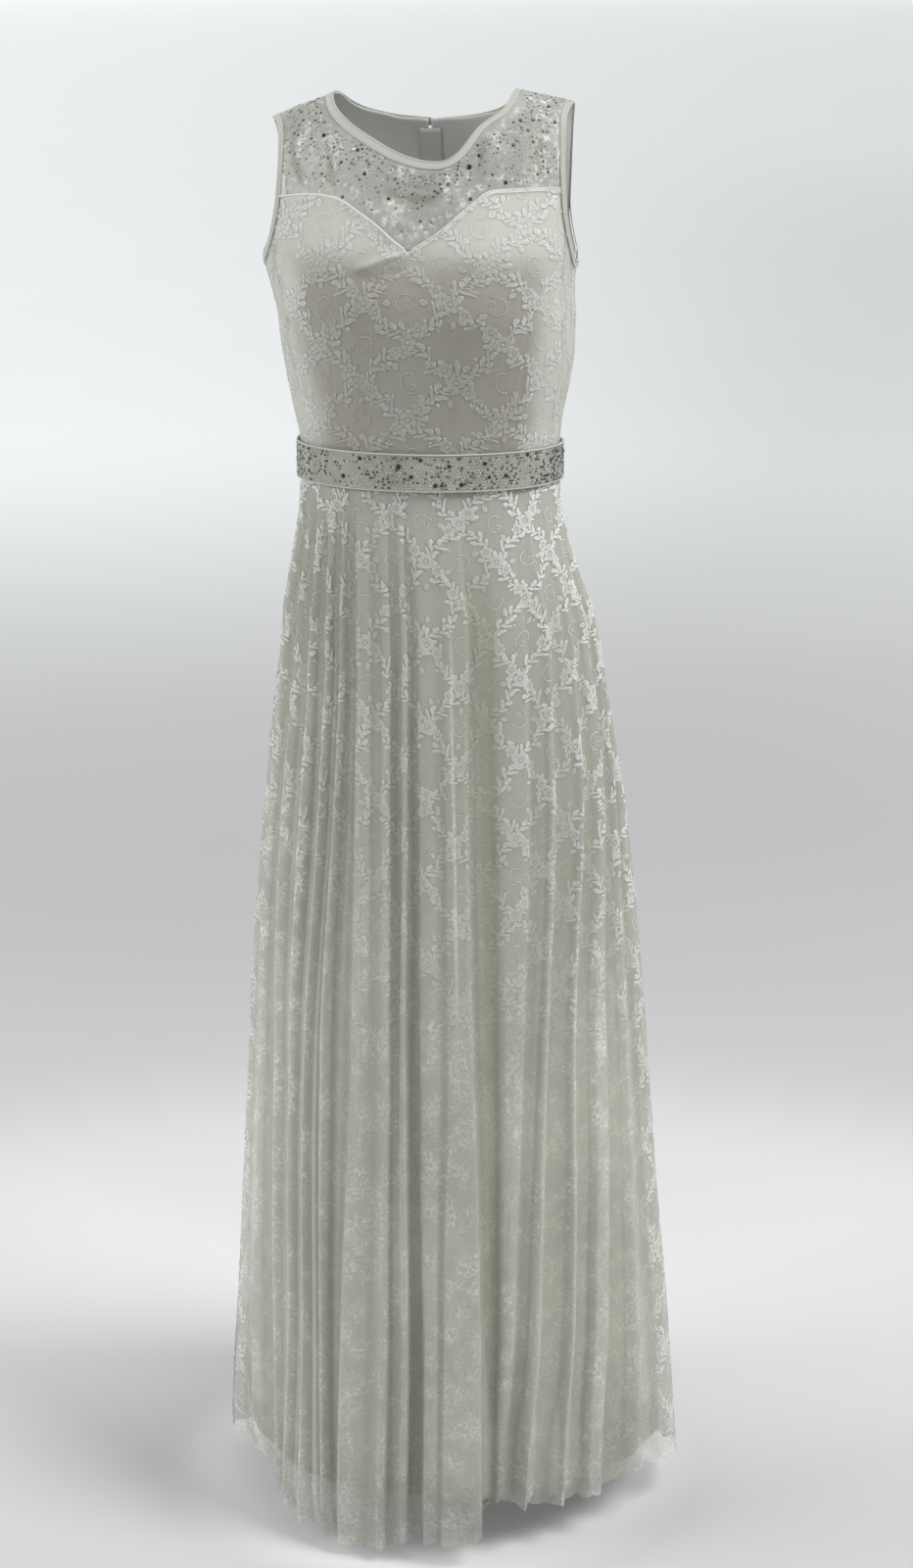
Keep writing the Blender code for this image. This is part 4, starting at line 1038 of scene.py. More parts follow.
def stone_finish(name):
    """Foiled glass stones, from clear (tone 1) to black (tone 0)."""
    made, m, shader = finish_of(name, Metallic=0.1, Specular_IOR_Level=0.4, Coat_Weight=0.15, Coat_Roughness=0.2)
    tone = m.attribute("tone")
    fleck = m.noise(700.0, 1.0)
    colour = m.scaled(m.mix((0.012, 0.013, 0.012), (0.60, 0.63, 0.59), tone), (fleck - 0.5) * 0.5 + 1.0)
    m.tree.links.new(colour, shader.inputs["Base Color"])
    m.feed((fleck - 0.5) * 0.1 + 0.30, shader.inputs["Roughness"])
    return made


def metal_finish(name, colour):
    made, m, shader = finish_of(name, Metallic=1.0, Roughness=0.3)
    wear = m.noise(420.0, 4.0, 0.65)
    brushed = m.noise(900.0, 2.0, 0.6, (1.0, 1.0, 0.08))
    m.tree.links.new(m.scaled(m.mix(colour, colour, 0.0), (wear - 0.5) * 0.3 + 1.0), shader.inputs["Base Color"])
    m.feed((wear - 0.5) * 0.25 + 0.32, shader.inputs["Roughness"])
    m.tree.links.new(m.bump(brushed, 0.0001, 0.4), shader.inputs["Normal"])
    return made


def tape_finish(name):
    made, m, shader = finish_of(name, Roughness=0.75, Sheen_Weight=0.1, Sheen_Roughness=0.5)
    u, v = m.uv("cloth")
    weave = m.sin(u * 7000.0) * m.sin(v * 7000.0)
    broad = m.noise(40.0, 2.0)
    m.tree.links.new(m.scaled(m.mix((0.60, 0.60, 0.56), (0.60, 0.60, 0.56), 0.0), weave * 0.05 + (broad - 0.5) * 0.1 + 1.0), shader.inputs["Base Color"])
    m.tree.links.new(m.bump(weave, 0.0002, 0.6), shader.inputs["Normal"])
    return made


BODICE_LACE = lace_finish("bodice_lace", 0.42, (0.50, 0.495, 0.445), (0.77, 0.775, 0.74), 0.0009, 0.30, 0.60)
SKIRT_LACE = lace_finish("skirt_lace", 0.54, GROUND, THREAD, 0.0001, 0.50, 0.85, skirt=True)
BODICE_LINING = lining_finish("bodice_lining", (0.80, 0.80, 0.76), 0.6, cups=TAUPE)
SKIRT_LINING = lining_finish("skirt_lining", (0.41, 0.40, 0.35), 0.5)
YOKE_NET = net_finish("yoke_net")
BINDING = binding_finish("binding", (0.43, 0.435, 0.395))
HEART_EDGE = binding_finish("heart_edge", (0.64, 0.645, 0.61))
BACK = crepe_finish("back_crepe", (0.62, 0.625, 0.59))
BELT = belt_finish("belt_ground")
PIPING = piping_finish("belt_piping", (0.50, 0.51, 0.475))
STONES = stone_finish("stones")
TAPE = tape_finish("zip_tape_cloth")
METAL = metal_finish("slider_metal", (0.62, 0.62, 0.60))
PULL_METAL = metal_finish("pull_metal", (0.66, 0.66, 0.64))


# ---------------------------------------------------------------- bodice
UNDER_BUST = ((-0.0624, 1.3181), (-0.0487, 1.3212), (-0.0295, 1.3289), (-0.0143, 1.3338), (-0.0067, 1.3366))
UNDER_BUST_SHADOW = ((-0.0600, 1.3120), (-0.0358, 1.3142), (-0.0187, 1.3200), (-0.0026, 1.3256))
DART_LEFT = ((0.1074, 1.2736), (0.1044, 1.2377), (0.0992, 1.1983), (0.0921, 1.1507))
DART_RIGHT = ((-0.0830, 1.2668), (-0.0833, 1.2269), (-0.0844, 1.1866), (-0.0852, 1.1481))
# other folds of the bodice: from, to, lift and half width in mm
BODICE_FOLDS = (
    ("ax", "az", "bx", "bz", "lift", "wide"),
    (-0.118, 1.342, -0.098, 1.300, 0.9, 5.0),
    (-0.020, 1.318, 0.030, 1.300, 0.7, 6.0),
    (0.030, 1.338, 0.062, 1.318, 0.8, 4.5),
    (-0.128, 1.300, -0.120, 1.200, 0.8, 4.0),
    (0.126, 1.310, 0.120, 1.180, -0.7, 4.0),
    (-0.020, 1.250, 0.012, 1.160, 0.8, 7.0),
    (0.040, 1.225, 0.030, 1.145, -0.7, 6.0),
    (-0.055, 1.235, -0.045, 1.150, -0.6, 6.0),
    (-0.110, 1.165, -0.070, 1.150, 0.7, 3.0),
    (0.050, 1.150, 0.100, 1.162, 0.6, 3.0),
)


def bodice_grid(under, heart_count, rows):
    """Angles and ws of the bodice's front: columns of one angle from the waist to the top edge."""
    right_under, left_under = edge(ARM_RIGHT_UNDER)[::-1], edge(ARM_LEFT_UNDER)
    heart = edge(SWEETHEART)
    top = joined(
        spaced(right_under, under),
        spaced(heart[: SWEETHEART_POINT + 1], heart_count),
        spaced(heart[SWEETHEART_POINT:], heart_count),
        spaced(left_under, under),
    )
    top[:, 1] -= 0.0045
    top[0, 0] += 0.0015
    top[-1, 0] -= 0.0015
    top[1:-1, 0] = np.clip(top[1:-1, 0], top[0, 0], top[-1, 0])
    share = np.linspace(0, 1, rows)
    z_top = torso(top[:, 0], top[:, 1])[:, 2]
    z = WAIST + 0.0003 + (z_top - WAIST - 0.0003)[None, :] * share[:, None]
    turns = np.repeat(top[None, :, 0], rows, 0)
    x = section(TORSO, "cx", ARMPIT) + section(TORSO, "half", ARMPIT) * np.sin(turns)
    ws = over_of(x, z)
    ws[0] = WAIST + 0.0003 - ARMPIT
    ws[-1] = top[:, 1]
    return turns, ws


def bodice_shape(points):
    """Lift of the bodice's folds, creases and darts at these points."""
    x, z = points[..., 0], points[..., 2]
    lift = crease(x, z, UNDER_BUST, 4.6, 5.0, 2.4, 0.25)
    lift += crease(x, z, UNDER_BUST_SHADOW, -1.2, 4.0, 6.0, 0.25)
    lift += crease(x, z, DART_LEFT, -0.9, 1.6, 1.6, 0.1) + crease(x, z, DART_LEFT, 0.7, 5.0, 5.0, 0.1)
    lift += crease(x, z, DART_RIGHT, -0.7, 1.6, 1.6, 0.1) + crease(x, z, DART_RIGHT, 0.5, 5.0, 5.0, 0.1)
    for ax, az, bx, bz, high, wide in BODICE_FOLDS[1:]:
        lift += crease(x, z, ((ax, az), (bx, bz)), high, wide, wide, 0.4)
    return lift


def bodice_hollow_shade(points):
    """Painted shade in the bodice's hollows: how dark they are under the crease and in the darts."""
    x, z = points[..., 0], points[..., 2]
    dark = crease(x, z, UNDER_BUST_SHADOW, 0.95, 3.5, 6.0, 0.25) + crease(x, z, DART_LEFT, 0.7, 1.1, 1.1, 0.1)
    dark += crease(x, z, DART_RIGHT, 0.45, 1.1, 1.1, 0.1)
    for ax, az, bx, bz, high, wide in BODICE_FOLDS[1:]:
        if high < 0:
            dark += crease(x, z, ((ax, az), (bx, bz)), 0.35, wide, wide, 0.4)
    return np.clip(dark / MM, 0, 1)


def bodice():
    turns, ws = bodice_grid(30, 105, 250)
    base = torso(turns, ws)
    middle = 30 + 105
    across = np.linalg.norm(np.diff(base, axis=1), axis=-1)
    u = np.concatenate([np.zeros((len(base), 1)), np.cumsum(across, 1)], 1) / MM
    u = u - u[:, middle : middle + 1] + 8.0
    v = (1.400 - base[..., 2]) / MM
    u, v = shaken(u, v)
    lift = LACE_LIFT + LACE_WALL + bodice_shape(base) + 0.55 * MM * relief(u, v)
    # the side edges are turned in, down to the back panels
    edges = np.minimum(turns - turns[:, :1], turns[:, -1:] - turns) * 120.0  # mm, about
    lift = 1.25 * MM + (lift - 1.25 * MM) * Plain.ramp(edges, -0.5, 6.0)
    points = raised(turns, ws, lift)
    # painted light on the lace: a highlight along the ridge under the bust, the top lighter, and the motifs brighter at
    # the sides and the top; painted shade under the crease and in the darts
    lace_sheet = sheet_of("bodice_lace_front", points, BODICE_LACE, np.stack([u, v], -1), numbers=[
        ("painted_hollow_shade", bodice_hollow_shade(base)),
        ("uneven", wool(base, 11.0) + 0.4 * wool(base, 27.0) + 3.6 * crease(base[..., 0], base[..., 2], UNDER_BUST, 1.0, 4.0, 2.0, 0.2) / MM + 0.8 * Plain.ramp(base[..., 2], 1.325, 1.360)), ("sheer", np.zeros(u.shape)),
        ("keen", np.maximum(Plain.ramp(np.abs(base[..., 0] + 0.005), 0.080, 0.115), 0.9 * Plain.ramp(base[..., 2], 1.320, 1.350))),
    ])
    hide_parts("bodice_front_lace")

    turns, ws = bodice_grid(12, 40, 90)
    base = torso(turns, ws)
    outer = raised(turns, ws, LINING_WALL + np.clip(bodice_shape(base), -0.6 * MM, 1.2 * MM) * 0.8)
    inner = raised(turns, ws, np.zeros(turns.shape))
    uv = np.stack([base[..., 0] / MM, (1.4 - base[..., 2]) / MM], -1)
    # darker nude round the cups and below the bust: partly the lining's colour, partly painted shade under the bust
    narrow = 0.022 * Plain.ramp(base[..., 2], 1.275, 1.175)
    cup_and_under_bust_shade = 0.90 * Plain.ramp(base[..., 2], 1.345, 1.305) * Plain.ramp(base[..., 0] - 0.006 * wool(base, 30.0, 2.0), -0.136 + narrow, -0.104 + narrow) * Plain.ramp(base[..., 0] + 0.006 * wool(base, 30.0, 7.0), 0.134 - narrow * 0.6, 0.104 - narrow * 0.6)
    for cx, cz in ((-0.072, 1.290), (0.058, 1.288)):
        cup_and_under_bust_shade += 0.4 * np.exp(-(np.hypot((base[..., 0] - cx) / 0.040, (base[..., 2] - cz) / 0.034) ** 4))
    under = shell_of("bodice_lining_front", outer, inner, BODICE_LINING, uv, numbers=[("cup_and_under_bust_shade", np.clip(cup_and_under_bust_shade, 0, 1))])
    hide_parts("bodice_front_lining")
    return lace_sheet, under


# ---------------------------------------------------------------- yoke
# folds of the yoke: a path, its lift in mm and its half widths in mm
YOKE_FOLDS = (
    (((0.0647, 1.4557), (0.0678, 1.4376), (0.0668, 1.4232), (0.0638, 1.4096), (0.0597, 1.3978)), 3.0, 2.0, 4.5),
    (((0.0590, 1.4520), (0.0605, 1.4330), (0.0590, 1.4180), (0.0545, 1.4040)), -1.2, 3.5, 3.5),
    (((-0.1344, 1.4397), (-0.1244, 1.4136), (-0.1152, 1.3874)), -1.6, 3.5, 3.5),
    (((-0.1180, 1.4450), (-0.1090, 1.4180), (-0.1010, 1.3900)), 1.4, 5.0, 5.0),
    (((-0.0958, 1.4413), (-0.0883, 1.4152), (-0.0825, 1.3862)), -1.6, 3.5, 3.5),
    (((-0.0840, 1.4400), (-0.0740, 1.4100), (-0.0650, 1.3800)), 1.0, 5.0, 5.0),
    (((0.1122, 1.4593), (0.1146, 1.4338), (0.1142, 1.4017)), -1.5, 3.5, 3.5),
    (((0.1000, 1.4560), (0.0990, 1.4300), (0.0960, 1.4020)), 1.2, 5.0, 5.0),
    (((0.1260, 1.4560), (0.1280, 1.4300), (0.1280, 1.4000)), 1.2, 4.0, 4.0),
    (((-0.0400, 1.4180), (-0.0180, 1.4060), (0.0120, 1.4010), (0.0340, 1.4060)), 1.3, 4.0, 5.0),
    (((-0.0380, 1.3980), (-0.0180, 1.3880), (0.0060, 1.3840), (0.0300, 1.3900)), -1.2, 4.0, 5.0),
    (((-0.0300, 1.3800), (-0.0140, 1.3640), (0.0040, 1.3560)), 1.0, 4.0, 4.0),
)


def yoke_grid(k, rows):
    heart = edge(SWEETHEART)
    outer = joined(
        spaced(edge(ARM_RIGHT_FRONT), 4 * k),
        spaced(heart[: SWEETHEART_POINT + 1], 8 * k),
        spaced(heart[SWEETHEART_POINT:], 8 * k),
        spaced(edge(ARM_LEFT_FRONT)[::-1], 4 * k),
    )
    outer[4 * k : -4 * k, 1] += 0.0045
    inner = spaced(edge(NECK_FRONT), len(outer) - 1)
    outer[0, 1] = outer[-1, 1] = inner[0, 1] = inner[-1, 1] = HALF_PI - 0.006
    across = np.linspace(0, 1, rows)[:, None, None]
    both = inner[None] * (1 - across) + outer[None] * across
    return both[..., 0], both[..., 1], np.broadcast_to(across[..., 0], both.shape[:2])


def yoke():
    turns, ws, across = yoke_grid(9, 80)
    base = torso(turns, ws)
    x, z = base[..., 0], base[..., 2]
    lift = np.zeros(x.shape)
    for path, high, above, below in YOKE_FOLDS:
        lift += crease(x, z, path, high * 1.5, above, below, 0.3)
    # flat under the bindings and along the seam
    hold = np.clip(np.minimum(across - 0.14, 0.97 - across) / 0.16, 0, 1)
    lift = np.maximum(lift * hold, -1.8 * MM)
    points = raised(turns, ws, YOKE_LIFT + YOKE_WALL + lift)
    made = sheet_of(
        "yoke_net_front", points, YOKE_NET, np.stack([x / MM, (1.5 - z) / MM], -1),
        numbers=[
            # where the folds sink: the finish paints shade there
            ("painted_hollow_shade", np.clip(-lift / (1.6 * MM), 0, 1)),
            ("lacy", np.exp(-(((x - 0.117) / 0.008) ** 4)) + np.exp(-(((across - 0.86) / 0.10) ** 4)) * 0.8),
        ],
    )
    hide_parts("yoke_front")
    return made


def yoke_lift(x, z):
    """Height of the yoke's cloth over the torso at these places, its folds included."""
    lift = np.zeros(np.shape(x))
    for path, high, above, below in YOKE_FOLDS:
        lift += crease(x, z, path, high * 1.5, above, below, 0.3)
    return YOKE_LIFT + YOKE_WALL + np.maximum(lift, -1.8 * MM)


# ---------------------------------------------------------------- back
BACK_WRINKLES = (
    ("az", "bz", "turn", "lift", "wide"),
    (1.150, 1.165, 0.62, 0.8, 3.5),
    (1.172, 1.180, 0.45, 0.6, 4.0),
    (1.205, 1.225, 0.75, 0.5, 5.0),
    (1.330, 1.350, 0.95, 0.8, 5.0),
    (1.372, 1.380, 0.55, 0.5, 6.0),
    (1.138, 1.142, 0.80, 1.0, 3.0),
    (1.128, 1.150, 0.35, 0.7, 3.0),
    (1.245, 1.290, 0.85, 0.9, 6.0),
    (1.290, 1.318, 0.90, -0.7, 6.0),
    (1.400, 1.424, 0.45, 0.9, 7.0),
    (1.188, 1.196, 0.90, -0.5, 5.0),
)


def backs():
    neck = edge(NECK_BACK, far=True)
    middle = len(neck) // 2
    k, rows, made = 9, 84, []
    for name, side, under, shoulder_neck in (
        ("back_right", -1, edge(ARM_RIGHT_BACK), neck[middle:]),
        ("back_left", 1, edge(ARM_LEFT_BACK), neck[: middle + 1][::-1]),
    ):
        hem = np.stack([math.pi - shoulder_neck[:, 0], math.pi - shoulder_neck[:, 1]], -1)
        arm = under[::-1].copy()
        if side < 0:
            arm[:, 0] += 2 * math.pi
        hem[0, 0] = math.pi - side * 0.008
        top = joined(spaced(hem, 4 * k), spaced(np.stack([hem[-1], arm[0]]), 3 * k), spaced(arm, 5 * k))
        top[4 * k : 7 * k + 1, 1] = HALF_PI - 0.006
        top[-1, 0] += side * 0.0015
        bottom = np.linspace(math.pi - side * 0.0008 / 0.0915, top[-1, 0], len(top))
        v = np.linspace(0, 1, rows)[:, None]
        turns = bottom[None] * (1 - v) + top[None, :, 0] * v
        ws = back_row(np.broadcast_to(top[None, :, 1], turns.shape), np.broadcast_to(v, turns.shape))
        ws[-1] = top[:, 1]
        base = torso(turns, ws)
        x, z = base[..., 0], base[..., 2]
        lift = np.zeros(x.shape)
        for az, bz, turn, high, wide in BACK_WRINKLES[1:]:
            reach = side * 0.1 * math.sin(turn) / 0.1
            lift += crease(x, z, ((side * 0.012, az), (side * 0.075 * turn + side * 0.02, (az + bz) / 2), (side * 0.13 * turn + side * 0.03, bz)), high * 1.7, wide, wide, 0.35)
        # a shaping dart from the waist, and the lips that meet over the zip
        lift += crease(x, z, ((side * 0.068, 1.122), (side * 0.066, 1.200), (side * 0.062, 1.262)), -1.0, 1.2, 1.2, 0.12)
        lift += crease(x, z, ((side * 0.072, 1.124), (side * 0.070, 1.200), (side * 0.066, 1.275)), 0.7, 4.0, 4.0, 0.12)
        from_zip = np.abs(x - section(TORSO, "cx", ARMPIT))
        lift += 0.5 * MM * np.exp(-(((from_zip - 4.5 * MM) / (2.2 * MM)) ** 2)) * (z < 1.45)
        from_side = np.abs(turns - turns[:, -1:]) * 0.12
        lift += 0.45 * MM * np.exp(-(((from_side - 3.2 * MM) / (2.4 * MM)) ** 2)) * (z < 1.32)
        lift += 0.7 * MM * wool(base * (1.0, 1.0, 0.5), 14.0, 3.0)
        outer = raised(turns, ws, BACK_WALL + lift)
        inner = raised(turns, ws, np.zeros(turns.shape))
        obj = shell_of(f"{name}_panel", outer, inner, BACK, np.stack([x / MM, (1.5 - z) / MM], -1))
        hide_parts(name)
        made.append(obj)
    return made


# ---------------------------------------------------------------- bindings
# sections of the bands: share of the width from the opening's edge, and lift over the band's foot in mm
NECK_SECTION = ((0.02, 0.0), (-0.02, 0.3), (-0.02, 0.8), (0.03, 1.25), (0.09, 1.35), (0.15, 1.15), (0.19, 0.75), (0.26, 0.7), (0.60, 0.85), (0.88, 0.75), (0.96, 0.55), (1.0, 0.25), (0.97, 0.0), (0.5, -0.05))
ARM_SECTION = ((0.02, 0.0), (-0.03, 0.3), (-0.02, 0.7), (0.06, 1.0), (0.18, 1.0), (0.27, 0.65), (0.60, 0.75), (0.84, 0.7), (0.96, 0.45), (1.0, 0.2), (0.96, 0.0), (0.5, -0.05))


def band(name, path, width, side, foot, section_rows, closed, stitch, soften=0, finish=None):
    """A folded band along an opening's edge; foot is the height of its underside over the torso."""
    shares = [row[0] for row in section_rows]
    heights = np.array([row[1] for row in section_rows]) * MM
    wide = np.broadcast_to(np.asarray(width, float), (len(path),))[:, None]
    columns = [moved_in(path, wide * share, side, closed) if share else path for share in shares]
    both = np.stack(columns, 1)
    foot = np.broadcast_to(np.asarray(foot, float), (len(path),))
    points = raised(both[..., 0], both[..., 1], foot[:, None] + heights[None, :])
    for _ in range(soften):  # corners rounded, along the band
        nearby = (np.roll(points, 1, 0) + 2 * points + np.roll(points, -1, 0)) / 4
        if not closed:
            nearby[0], nearby[-1] = points[0], points[-1]
        points = nearby
    rows, cols = points.shape[:2]
    faces = quads(rows, cols, around=True, wrap=closed)
    # the section runs round the band, so its outside is on the side away from its middle
    middle = points.mean(1)[:, None]
    p = points.reshape(-1, 3)
    n = np.cross(p[faces[:, 1]] - p[faces[:, 0]], p[faces[:, 3]] - p[faces[:, 0]])
    away = p[faces].mean(1) - np.repeat(middle, cols, 1).reshape(-1, 3)[faces[:, 0]]
    if (n * away).sum() < 0:
        faces = faces[:, ::-1]
    along = np.concatenate([[0], np.cumsum(np.linalg.norm(np.diff(points[:, 0], axis=0), axis=1))]) / MM
    u = np.repeat(along[:, None], cols, 1)
    v = wide / MM * np.array(shares)[None]
    made = mesh_of(
        name,
        points,
        faces,
        finish or BINDING,
        layers=(("OFBake", unit(rows, cols)), ("cloth", np.stack([u, v], -1) / 1000)),
        numbers=[("stitch", np.full(u.shape, stitch))],
    )
    if not closed:
        work = made.data
        # end caps
        fill = bmesh.new()
        fill.from_mesh(work)
        fill.verts.ensure_lookup_table()
        for row in (0, rows - 1):
            ring_ = [fill.verts[row * cols + c] for c in range(cols)]
            fill.faces.new(ring_ if row else ring_[::-1])
        bmesh.ops.recalc_face_normals(fill, faces=fill.faces)
        fill.to_mesh(work)
        fill.free()
    return made


def bindings():
    front, back = edge(NECK_FRONT), edge(NECK_BACK, far=True)
    middle = len(back) // 2
    gap = 0.0012 / 0.08
    start, end = back[middle].copy(), back[middle].copy()
    start[0] -= gap
    end[0] += gap
    path = joined(
        spaced(np.concatenate([[start], back[middle + 1 :]]), 50),
        spaced(front, 180),
        spaced(np.concatenate([back[:middle], [end]]), 50),
    )
    path = eased(path, False, 30)
    wide = NECK_BINDING * np.interp(np.arange(len(path)), (0, 50, 120, 150, 190, 230, 280), (0.9, 0.9, 0.95, 0.80, 0.55, 0.62, 0.9))
    made = [band("neck_band", path, wide, -1, 1.7 * MM, NECK_SECTION, False, 8.4, soften=10)]
    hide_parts("neck_binding")
    for name, a, b, c, side in (
        ("right", ARM_RIGHT_FRONT, ARM_RIGHT_UNDER, ARM_RIGHT_BACK, 1),
        ("left", ARM_LEFT_FRONT, ARM_LEFT_UNDER, ARM_LEFT_BACK, -1),
    ):
        path = joined(spaced(edge(a), 56), spaced(edge(b), 48), spaced(edge(c), 96))[:-1]
        foot = np.interp(np.arange(200), (0, 44, 54, 100, 112, 124, 199), (1.8, 2.0, 2.8, 2.9, 2.6, 2.0, 1.8))
        obj = band(f"armhole_band_{name}", path, ARM_BINDING, side, foot * MM, ARM_SECTION, True, 5.3, soften=14)
        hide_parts(f"armhole_binding_{name}")
        made.append(obj)
    return made


def shoulder_seams():
    """The folded seams along the shoulders; the one on the wearer's left is fuller."""
    made = []
    neck, right_arm, left_arm = edge(NECK_FRONT), edge(ARM_RIGHT_FRONT), edge(ARM_LEFT_FRONT)
    fold = ((0.0, 0.0), (-0.03, 0.4), (0.08, 1.0), (0.25, 1.2), (0.42, 0.7), (0.52, 0.6), (0.64, 1.0), (0.82, 1.1), (0.97, 0.6), (1.0, 0.0), (0.5, -0.05))
    for name, a, b, full, side in (("right", right_arm[0, 0], neck[0, 0], 0.55, 1), ("left", neck[-1, 0], left_arm[0, 0], 1.3, 1)):
        turns = np.linspace(a, b, 42)[2:-2]
        path = np.stack([turns, HALF_PI + 0.055 + 0.012 * np.sin(np.arange(len(turns)) * 0.9)], -1)
        rows = [(share, lift * full) for share, lift in fold]
        obj = band(f"shoulder_seam_{name}", path, 9.5 * MM, side, YOKE_LIFT + YOKE_WALL * 0.8, rows, False, 4.6)
        made.append(obj)
    return made


def eased(path, closed, times=3):
    """The path with its corners rounded a little."""
    out = np.array(path)
    for _ in range(times):
        mid = (np.roll(out, 1, 0) + out * 2 + np.roll(out, -1, 0)) / 4
        if not closed:
            mid[0], mid[-1] = out[0], out[-1]
        out = mid
    return out


def heart_edges():
    """The bodice's top edge over the yoke: a thin raised edge on the wearer's right that ends
    at the point, and a flat double-stitched band on the other."""
    heart = edge(SWEETHEART)
    right = spaced(heart[: SWEETHEART_POINT + 1], 150)
    left = spaced(heart[SWEETHEART_POINT:], 150)
    made = []
    thin = ((0.0, 0.0), (-0.2, 0.5), (0.0, 1.3), (0.4, 1.6), (0.8, 1.3), (1.0, 0.4), (0.9, 0.0))
    flat = ((0.0, 0.0), (-0.04, 0.5), (0.02, 0.95), (0.16, 1.05), (0.26, 0.75), (0.50, 0.85), (0.74, 0.75), (0.84, 1.05), (0.97, 0.9), (1.0, 0.4), (0.97, 0.0))
    for name, path, wide, rows, foot in (("heart_edge_right", right, 1.8 * MM, thin, 2.0), ("heart_edge_left", left, 4.2 * MM, flat, 1.5)):
        path = path[3:-3]
        obj = band(name, path, wide, -1, foot * MM, rows, False, 2.0, finish=HEART_EDGE)
        made.append(obj)
    return made


# ---------------------------------------------------------------- stones
def gems(name, centres, normals, radii, tones, finish, high=0.55, sides=6):
    """Small faceted stones as one mesh."""
    centres, normals = np.asarray(centres, float), np.asarray(normals, float)
    radii, tones = np.asarray(radii, float), np.asarray(tones, float)
    count = len(centres)
    helper = np.where(np.abs(normals[:, 2:3]) < 0.8, np.array([[0.0, 0.0, 1.0]]), np.array([[1.0, 0.0, 0.0]]))
    a = np.cross(helper, normals)
    a /= np.linalg.norm(a, axis=1, keepdims=True)
    b = np.cross(normals, a)
    spin = np.arange(count) * 2.39996
    angle = spin[:, None] + np.arange(sides)[None] * 2 * math.pi / sides
    ring_ = np.cos(angle)[..., None] * a[:, None] + np.sin(angle)[..., None] * b[:, None]
    rings = []
    for wide, tall in ((0.96, -0.15), (1.0, 0.22), (0.56, high)):
        rings.append(centres[:, None] + ring_ * (radii * wide)[:, None, None] + (normals * (radii * tall)[:, None])[:, None])
    verts = np.concatenate(rings, 1)  # count, 3 * sides, 3
    k = np.arange(sides)
    nxt = (k + 1) % sides
    faces = [np.stack([k + o, nxt + o, nxt + o + sides, k + o + sides], -1) for o in (0, sides)]
    top = 2 * sides
    faces.append(np.array([[top, top + 1, top + 2, top + 3], [top, top + 3, top + 4, top + 5]]))
    faces.append(np.array([[3, 2, 1, 0], [5, 4, 3, 0]]))
    faces = np.concatenate(faces)
    all_faces = (faces[None] + (np.arange(count) * 3 * sides)[:, None, None]).reshape(-1, 4)
    # a map with a small square for each stone
    side_count = int(math.ceil(math.sqrt(count)))
    cell = np.stack([np.arange(count) % side_count, np.arange(count) // side_count], -1) / side_count
    local = np.concatenate([np.stack([0.5 + 0.5 * w * np.cos(k * 2 * math.pi / sides), 0.5 + 0.5 * w * np.sin(k * 2 * math.pi / sides)], -1) for w in (0.9, 0.75, 0.45)])
    uv = cell[:, None] + local[None] * 0.9 / side_count
    return mesh_of(
        name, verts.reshape(-1, 3), all_faces, finish, smooth=False,
        layers=(("OFBake", uv),), numbers=[("tone", np.repeat(tones, 3 * sides))],
    )


